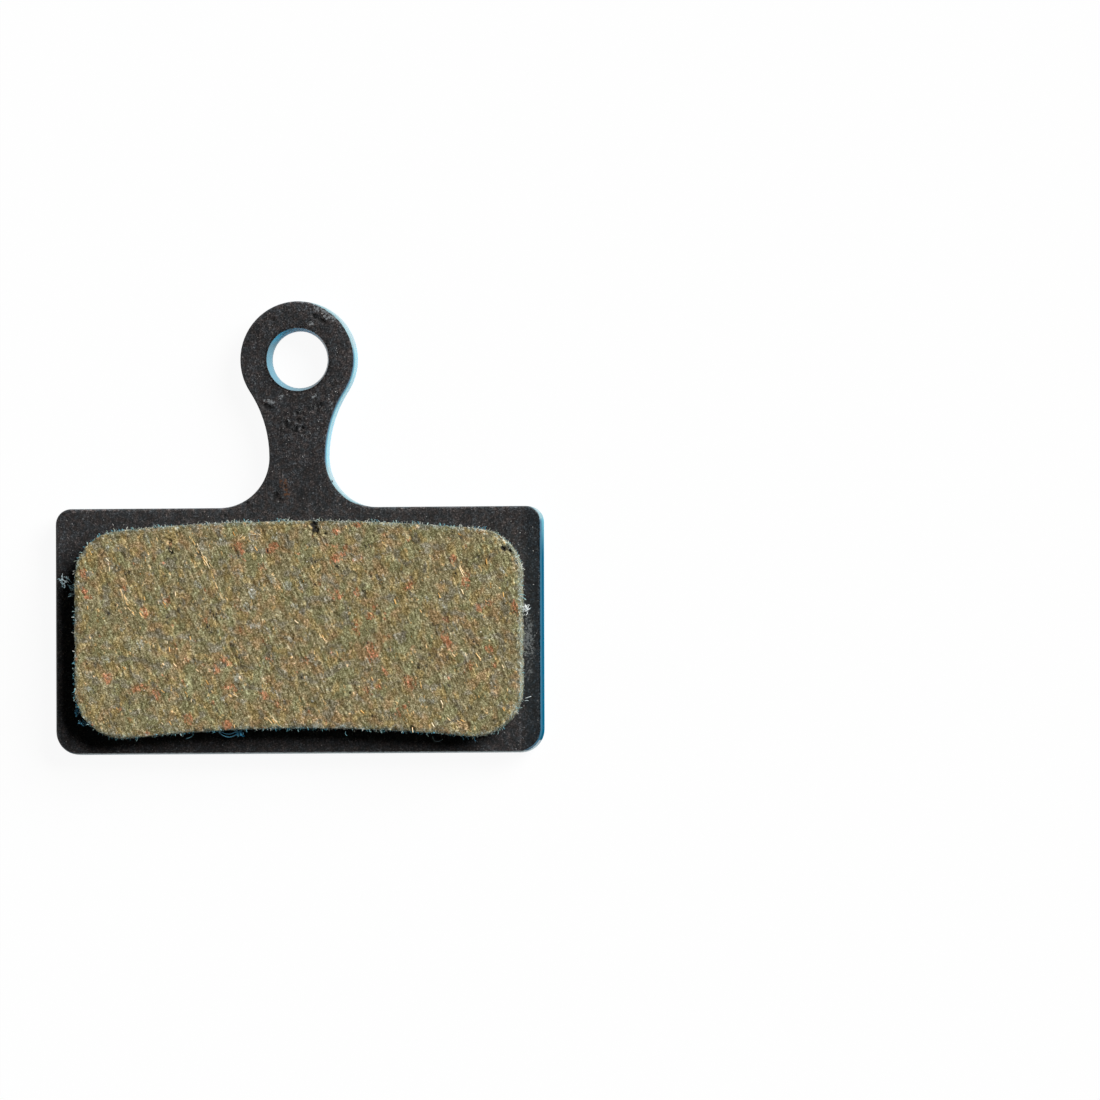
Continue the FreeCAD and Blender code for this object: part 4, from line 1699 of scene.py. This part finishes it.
@dataclass(frozen=True)
class Specks:
    """Small angular grains scattered over a host, flat on it."""

    name: str
    density: float
    smallest: float
    largest: float
    seed: int
    density_field: str
    flatness: float = 0.45
    narrowest: float = 0.5
    rarity: float = 3.0

    def tree(self) -> bpy.types.NodeTree:
        """Builds the node tree.

        Returns:
            The tree, whose lengths are in metres.
        """
        graph = ScatterGraph(f"{self.name}_tree", "Smallest", "Largest", "Flatness")
        given = graph.given
        points = graph.scatter(self.density_field).outputs
        grain = graph.add("GeometryNodeMeshIcoSphere", {"Radius": 1.0, "Subdivisions": 1}).outputs[0]
        skew = graph.math("POWER", graph.random(0.0, 1.0, 1), self.rarity)
        reach = graph.math("SUBTRACT", given["Largest"], given["Smallest"])
        size = graph.math("ADD", given["Smallest"], graph.times(reach, skew))
        wide = graph.times(size, graph.random(self.narrowest, 1.0, 2))
        scale = graph.spot(X=size, Y=wide, Z=graph.times(size, given["Flatness"]))
        spin = graph.spot(Z=graph.random(0.0, FULL_TURN, 3))
        turn = graph.add("FunctionNodeEulerToRotation", {0: spin}).outputs[0]
        instances = graph.add("GeometryNodeInstanceOnPoints", {
            "Points": points["Points"], "Instance": grain, "Rotation": turn, "Scale": scale})
        return graph.close(instances.outputs[0])

    def values(self) -> dict[str, float]:
        """Gives the tree's inputs."""
        return {"Density": self.density / MM ** 2, "Seed": self.seed, "Smallest": self.smallest * MM,
                "Largest": self.largest * MM, "Flatness": self.flatness}


def grow(kind: Fibres | Specks, host: bpy.types.Object, finish: bpy.types.Material,
         slot: Slot = Slot.COMPOUND) -> bpy.types.Object:
    """Runs a scattering tree on a host and keeps the result as a plain mesh.

    Args:
        kind: What is scattered.
        host: The helper that carries it, which is removed.
        finish: Its material.
        slot: Its slot in the record.

    Returns:
        The piece.
    """
    tree = kind.tree()
    modifier = host.modifiers.new(kind.name, "NODES")
    modifier.node_group = tree
    values: dict[str, Any] = {**kind.values(), "Material": finish}
    for item in tree.interface.items_tree:
        if item.item_type == "SOCKET" and item.in_out == "INPUT" and item.name in values:
            modifier[item.identifier] = values[item.name]
    state = bpy.context.evaluated_depsgraph_get()
    grown = host.evaluated_get(state)
    mesh = bpy.data.meshes.new_from_object(grown, preserve_all_data_layers=True, depsgraph=state)
    host.modifiers.remove(modifier)
    bpy.data.objects.remove(host)
    mesh.name = kind.name
    mesh.shade_smooth()
    return seat(link(bpy.data.objects.new(kind.name, mesh)), slot)


def add_tube(shell: Shell, line: np.ndarray, radius: float, tint: float) -> None:
    """Adds one fibre as a thin closed tube along a line.

    Args:
        shell: The mesh under construction.
        line: The line's points.
        radius: The fibre's radius.
        tint: The fibre's tint.
    """
    stations = np.linspace(0, len(line) - 1, 2 * len(line))
    path = np.stack([np.interp(stations, range(len(line)), line[:, axis]) for axis in range(3)], 1)
    for _ in range(TUBE_SMOOTHINGS):
        path[1:-1] = (path[:-2] + 2 * path[1:-1] + path[2:]) / 4
    run = np.gradient(path, axis=0)
    side = np.cross(run, (0.0, 0.0, 1.0))
    side /= np.maximum(np.linalg.norm(side, axis=1, keepdims=True), NO_LENGTH)
    lift = np.cross(side, run)
    lift /= np.maximum(np.linalg.norm(lift, axis=1, keepdims=True), NO_LENGTH)
    turns = np.linspace(0, FULL_TURN, TUBE_SIDES, endpoint=False)
    rings = []
    for centre, across, above in zip(path, side, lift):
        points = np.array([centre + radius * (across * math.cos(turn) + above * math.sin(turn))
                           for turn in turns])
        rings.append(shell.add(points[:, :2], points[:, 2], tint=tint))
    shell.skin(rings)
    shell.cap(rings[0])
    shell.cap(rings[-1])


@dataclass(frozen=True)
class Tuft:
    """A small clump of loose curled fibres lying on the pad."""

    at: tuple[float, float, float]
    reach: tuple[float, float, float]
    count: int
    length: float
    thickness: float
    curl: float
    tint: float
    joints: int = 7
    climb: float = 0.25

    def strands(self, rng: np.random.Generator) -> list[np.ndarray]:
        """Draws the fibres as wandering lines.

        Args:
            rng: The source of the wandering.

        Returns:
            The points of each fibre.
        """
        lines = []
        for _ in range(self.count):
            place = np.array(self.at) + rng.uniform(-1, 1, 3) * np.array(self.reach)
            angle = rng.uniform(0, FULL_TURN)
            step = self.length * rng.uniform(0.3, 1.3) / self.joints
            line = [place]
            for _ in range(self.joints):
                angle += rng.normal(0, self.curl)
                rise = rng.normal(0, self.climb) * step
                place = place + np.array([math.cos(angle) * step, math.sin(angle) * step, rise])
                place[2] = max(place[2], self.at[2])
                line.append(place)
            lines.append(np.array(line))
        return lines


@dataclass(frozen=True)
class Curl:
    """One loose fibre that can be told apart, by its path at one height."""

    path: tuple[tuple[float, float], ...]
    height: float
    thickness: float
    tint: float


@dataclass
class Fluff:
    """Loose fibres and lint caught on the pad's edges."""

    name: str = "loose_lint"
    seed: int = 5
    tint_spread: float = 0.12
    tufts: tuple[Tuft, ...] = (
        Tuft((-18.1, -16.95, 3.1), (0.26, 0.26, 0.4), 24, 0.5, 0.032, 1.0, 0.66),
        Tuft((-17.5, -17.7, 3.1), (0.12, 0.4, 0.5), 18, 0.5, 0.035, 1.0, 0.6),
        Tuft((18.0, -19.45, 3.3), (0.1, 0.2, 0.3), 26, 0.42, 0.04, 1.0, 0.97),
        Tuft((-4.45, -28.85, 3.3), (0.18, 0.2, 0.4), 26, 0.45, 0.04, 0.9, 0.15),
        Tuft((14.3, -13.3, 3.5), (0.6, 0.05, 0.3), 20, 0.4, 0.035, 0.9, 0.12),
        Tuft((13.5, -29.15, 3.4), (0.5, 0.08, 0.3), 14, 0.5, 0.035, 0.9, 0.3),
        Tuft((-17.1, -26.9, 3.5), (0.08, 0.5, 0.3), 24, 0.4, 0.035, 0.9, 0.15),
        Tuft((-16.6, -28.0, 3.5), (0.3, 0.2, 0.3), 20, 0.35, 0.035, 0.9, 0.2),
    )
    curls: tuple[Curl, ...] = (
        Curl(((-6.1, -28.7), (-5.8, -29.0), (-5.4, -29.2), (-5.0, -29.2), (-4.6, -28.95)), 3.5, 0.05, 0.2),
        Curl(((-5.9, -28.7), (-5.5, -28.95), (-5.1, -29.0), (-4.7, -28.8)), 3.6, 0.035, 0.15),
        Curl(((-8.6, -29.3), (-8.2, -29.2), (-8.0, -29.0), (-7.95, -28.7)), 3.5, 0.035, 0.45),
        Curl(((10.5, -29.2), (10.55, -29.5), (10.8, -29.62), (11.15, -29.55), (11.3, -29.4)),
             2.2, 0.05, 0.7),
        Curl(((3.95, -28.8), (3.85, -29.0), (4.05, -29.15)), 3.6, 0.035, 0.5),
        Curl(((17.75, -26.3), (18.0, -26.22), (18.2, -26.15)), 2.2, 0.05, 0.9),
        Curl(((17.7, -26.5), (17.85, -26.46), (18.0, -26.5)), 2.25, 0.04, 0.8),
    )

    def build(self, finish: bpy.types.Material) -> bpy.types.Object:
        """Builds all tufts and curls as one piece.

        Args:
            finish: The lint's material, which reads the tint of each fibre.

        Returns:
            The piece.
        """
        rng = np.random.default_rng(self.seed)
        shell = Shell("tint")
        for tuft in self.tufts:
            for line in tuft.strands(rng):
                tint = float(np.clip(tuft.tint + rng.normal(0, self.tint_spread), 0, 1))
                add_tube(shell, line, tuft.thickness / 2, tint)
        for curl in self.curls:
            line = np.array([(x, y, curl.height) for x, y in curl.path])
            add_tube(shell, line, curl.thickness / 2, curl.tint)
        lint = shell.to_object(self.name)
        lint.data.materials.append(finish)
        return seat(lint, Slot.COMPOUND)


@dataclass(frozen=True)
class Streak:
    """A run of brass fibres that lie one behind the other in the ground face."""

    path: tuple[tuple[float, float], ...]
    count: int
    length: float
    thickness: float = 0.06
    jitter: float = 0.06
    lift: tuple[float, float] = (-0.01, 0.02)

    def strands(self, rng: np.random.Generator, level: float) -> list[np.ndarray]:
        """Draws the fibres as short bent lines along the path.

        Args:
            rng: The source of the scatter.
            level: The height at which they lie.

        Returns:
            The points of each fibre.
        """
        corners = np.array(self.path)
        along = np.concatenate([[0.0], np.cumsum(np.linalg.norm(np.diff(corners, axis=0), axis=1))])
        lines = []
        for _ in range(self.count):
            half = self.length * rng.uniform(0.3, 1.0) / 2
            middle = rng.uniform(half, max(half, along[-1] - half))
            stations = np.clip(middle + half * np.array([-1.0, 0.0, 1.0]), 0.0, along[-1])
            flat = np.stack([np.interp(stations, along, corners[:, axis]) for axis in range(2)], 1)
            flat = flat + rng.normal(0, self.jitter, 2) + rng.normal(0, self.jitter / 4, flat.shape)
            lines.append(np.column_stack([flat, level + rng.uniform(*self.lift, len(flat))]))
        return lines


@dataclass
class BrassStreaks:
    """The longer brass fibres that can be told apart on the face."""

    name: str = "brass_streaks"
    seed: int = 8
    tints: tuple[float, float] = (0.35, 1.0)
    streaks: tuple[Streak, ...] = (
        Streak(((-7.95, -13.8), (-7.4, -14.9)), 5, 0.7),
        Streak(((-7.4, -14.9), (-6.6, -16.2)), 9, 0.8, jitter=0.12),
        Streak(((-6.6, -16.2), (-5.5, -18.8)), 6, 0.8, 0.045, 0.04),
        Streak(((-13.5, -17.6), (-13.1, -19.0)), 7, 0.7, jitter=0.1),
        Streak(((-13.1, -19.0), (-12.2, -20.2)), 4, 0.5),
        Streak(((-4.3, -14.0), (-3.9, -13.6)), 5, 0.4, 0.07, 0.1),
        Streak(((-3.6, -13.5), (-3.0, -13.4), (-2.4, -13.8), (-2.1, -14.1)), 7, 0.6, 0.06),
        Streak(((12.9, -15.9), (13.4, -16.9)), 3, 1.0, 0.09, 0.09),
        Streak(((14.1, -22.8), (14.5, -23.4)), 2, 0.8, 0.1, 0.05),
        Streak(((-2.0, -27.6), (-1.5, -28.3)), 6, 0.7, 0.07, 0.12),
        Streak(((13.0, -18.0), (13.2, -18.3)), 2, 0.4, 0.09),
        Streak(((6.9, -14.2), (7.5, -14.6)), 4, 0.5, 0.07, 0.1),
        Streak(((2.0, -21.2), (2.4, -21.8)), 3, 0.5, 0.07, 0.1),
        Streak(((-4.9, -25.8), (-4.4, -26.2)), 5, 0.5, 0.07, 0.12),
        Streak(((12.8, -28.0), (13.4, -28.2)), 4, 0.4, 0.07, 0.1),
    )

    def build(self, level: float, finish: bpy.types.Material) -> bpy.types.Object:
        """Builds all streaks as one piece.

        Args:
            level: The height at which they lie.
            finish: Their material, which reads the tint of each fibre.

        Returns:
            The piece.
        """
        rng = np.random.default_rng(self.seed)
        shell = Shell("tint")
        for streak in self.streaks:
            for line in streak.strands(rng, level):
                add_tube(shell, line, streak.thickness / 2, rng.uniform(*self.tints))
        wires = shell.to_object(self.name)
        wires.data.materials.append(finish)
        return seat(wires, Slot.COMPOUND)


@dataclass
class Studio:
    """The floor, the light and the camera."""

    aim: tuple[float, float, float] = (19.68, -14.87, 2.0)
    distance: float = 2000.0
    lens: float = 848.5
    tilt_right: float = 8.6
    tilt_up: float = -1.42
    roll: float = -0.19
    floor_radius: float = 3000.0
    floor_gap: float = 0.02
    key_height: float = 32.5
    key_bearing: float = 35.0
    key_width: float = 38.0
    key_strength: float = 5.85
    fill: float = 0.02
    floor_sides: int = 96

    def build(self) -> None:
        """Sets up the whole studio."""
        bpy.context.scene.view_settings.view_transform = "Standard"
        self.make_floor()
        self.make_light()
        self.make_camera()

    def make_floor(self) -> None:
        """Makes a round white floor just under the pad."""
        disc = bmesh.new()
        place = Matrix.Translation((0, 0, -self.floor_gap * MM))
        bmesh.ops.create_circle(disc, cap_ends=True, segments=self.floor_sides,
                                radius=self.floor_radius * MM, matrix=place)
        mesh = bpy.data.meshes.new("floor")
        disc.to_mesh(mesh)
        mesh.materials.append(FloorFinish().build())
        link(bpy.data.objects.new("floor", mesh))

    def make_light(self) -> None:
        """Makes a broad soft key light from the upper right, and a faint even fill."""
        lamp = bpy.data.lights.new("key", "SUN")
        lamp.energy = self.key_strength
        lamp.angle = math.radians(self.key_width)
        bearing, height = math.radians(self.key_bearing), math.radians(self.key_height)
        flat = math.cos(height)
        towards = Vector((math.cos(bearing) * flat, math.sin(bearing) * flat, math.sin(height)))
        key = link(bpy.data.objects.new("key", lamp))
        key.rotation_euler = towards.to_track_quat("Z", "Y").to_euler()
        world = bpy.data.worlds.new("studio")
        world.use_nodes = True
        background = world.node_tree.nodes["Background"]
        background.inputs["Color"].default_value = WHITE
        background.inputs["Strength"].default_value = self.fill
        bpy.context.scene.world = world

    def make_camera(self) -> None:
        """Makes the long-lens camera that looks down on the pad, a little from its right."""
        data = bpy.data.cameras.new("camera")
        data.lens = self.lens
        data.clip_end = 3 * self.distance * MM
        camera = link(bpy.data.objects.new("camera", data))
        aside, above = (math.tan(math.radians(tilt)) for tilt in (self.tilt_right, self.tilt_up))
        back = Vector((aside, above, 1)).normalized()
        right = Vector((0, 1, 0)).cross(back).normalized()
        turn = Matrix((right, back.cross(right), back)).transposed().to_4x4()
        place = Matrix.Translation((Vector(self.aim) + back * self.distance) * MM)
        camera.matrix_world = place @ turn @ Matrix.Rotation(math.radians(self.roll), 4, "Z")
        bpy.context.scene.camera = camera


def main() -> None:
    """Builds the pad piece by piece, then the studio."""
    logging.basicConfig(level=logging.INFO, format="%(name)s: %(message)s")
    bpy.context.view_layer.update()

    lining = FrictionLining()
    plate = BackingPlate()
    plate.build(lining.outline, PlateFinish())
    lining.build(CompoundFinish())

    teal = FibreFinish("coated_fibres", ((58, 132, 157), (116, 167, 174), (178, 203, 199))).build()
    bare = FibreFinish("bare_fibres", ((120, 132, 118), (172, 176, 164), (214, 216, 208))).build()
    # The brass tones run up to a near-white cream, which is painted highlight that stands for glints on the
    # wires.
    brass = FibreFinish("brass_wires", ((176, 122, 54), (236, 188, 108), (255, 240, 204)), 0.3, 0.5).build()
    quartz = FibreFinish("quartz_grains", ((190, 182, 146), (226, 218, 190), (250, 248, 236))).build()
    lint = FibreFinish("lint", ((24, 112, 150), (110, 160, 172), (236, 240, 240))).build()
    dust = FibreFinish("dust", ((56, 56, 56), (92, 91, 90), (168, 166, 164))).build()

    for fringe, finish, seed in ((Fringe.COATED, teal, 31), (Fringe.BARE, bare, 41)):
        frayed = Fibres(f"frayed_edge_{fringe.value}", Stance.STANDING, density=85.0, length=0.14,
                        thickness=0.028, bend=0.5, spread=50.0, seed=seed, shortest=0.35, longest=2.0)
        fuzz = Fibres(f"wall_fuzz_{fringe.value}", Stance.STANDING, density=8.0, length=0.16,
                      thickness=0.03, bend=0.5, spread=70.0, seed=seed + 1)
        crumbs = Specks(f"edge_crumbs_{fringe.value}", density=16.0, smallest=0.02, largest=0.09,
                        seed=seed + 2, density_field="shag", flatness=0.8)
        top, foot = lining.top, lining.foot
        grow(frayed, lining.band(top - lining.fray_high, top - lining.fray_low, fringe), finish)
        grow(fuzz, lining.band(top - lining.fuzz_high, foot + lining.fuzz_lift, fringe), finish)
        grow(crumbs, lining.band(top - lining.crumb_high, top - lining.crumb_low, fringe), finish)
    wires = Fibres("brass_wires", Stance.LYING, density=1.5, length=0.2, thickness=0.05, bend=0.15,
                   spread=30.0, seed=33, heading=90 - math.degrees(GRIND_TURN))
    grains = Specks("quartz_grains", density=1.9, smallest=0.03, largest=0.065, seed=38,
                    density_field="shag", flatness=0.5)
    grow(wires, lining.top_host(), brass)
    grow(grains, lining.top_host(), quartz)
    BrassStreaks().build(lining.top - lining.bedding, brass)
    plug_fibres = Fibres("plug_fibres", Stance.STANDING, density=16.0, length=0.4, thickness=0.04, bend=0.6,
                         spread=85.0, seed=36, shortest=0.3, longest=1.15)
    grow(plug_fibres, lining.plug_host(), teal)
    for specks in (Specks("plate_dust", 3.4, 0.01, 0.06, 34, "open"),
                   Specks("worn_grit", 14.0, 0.012, 0.07, 37, "worn"),
                   Specks("powder_grains", 90.0, 0.008, 0.035, 35, "powder")):
        grow(specks, plate.open_face(lining.outline), dust, Slot.PLATE)
    Fluff().build(lint)

    Studio().build()


if __name__ == "__main__":
    main()
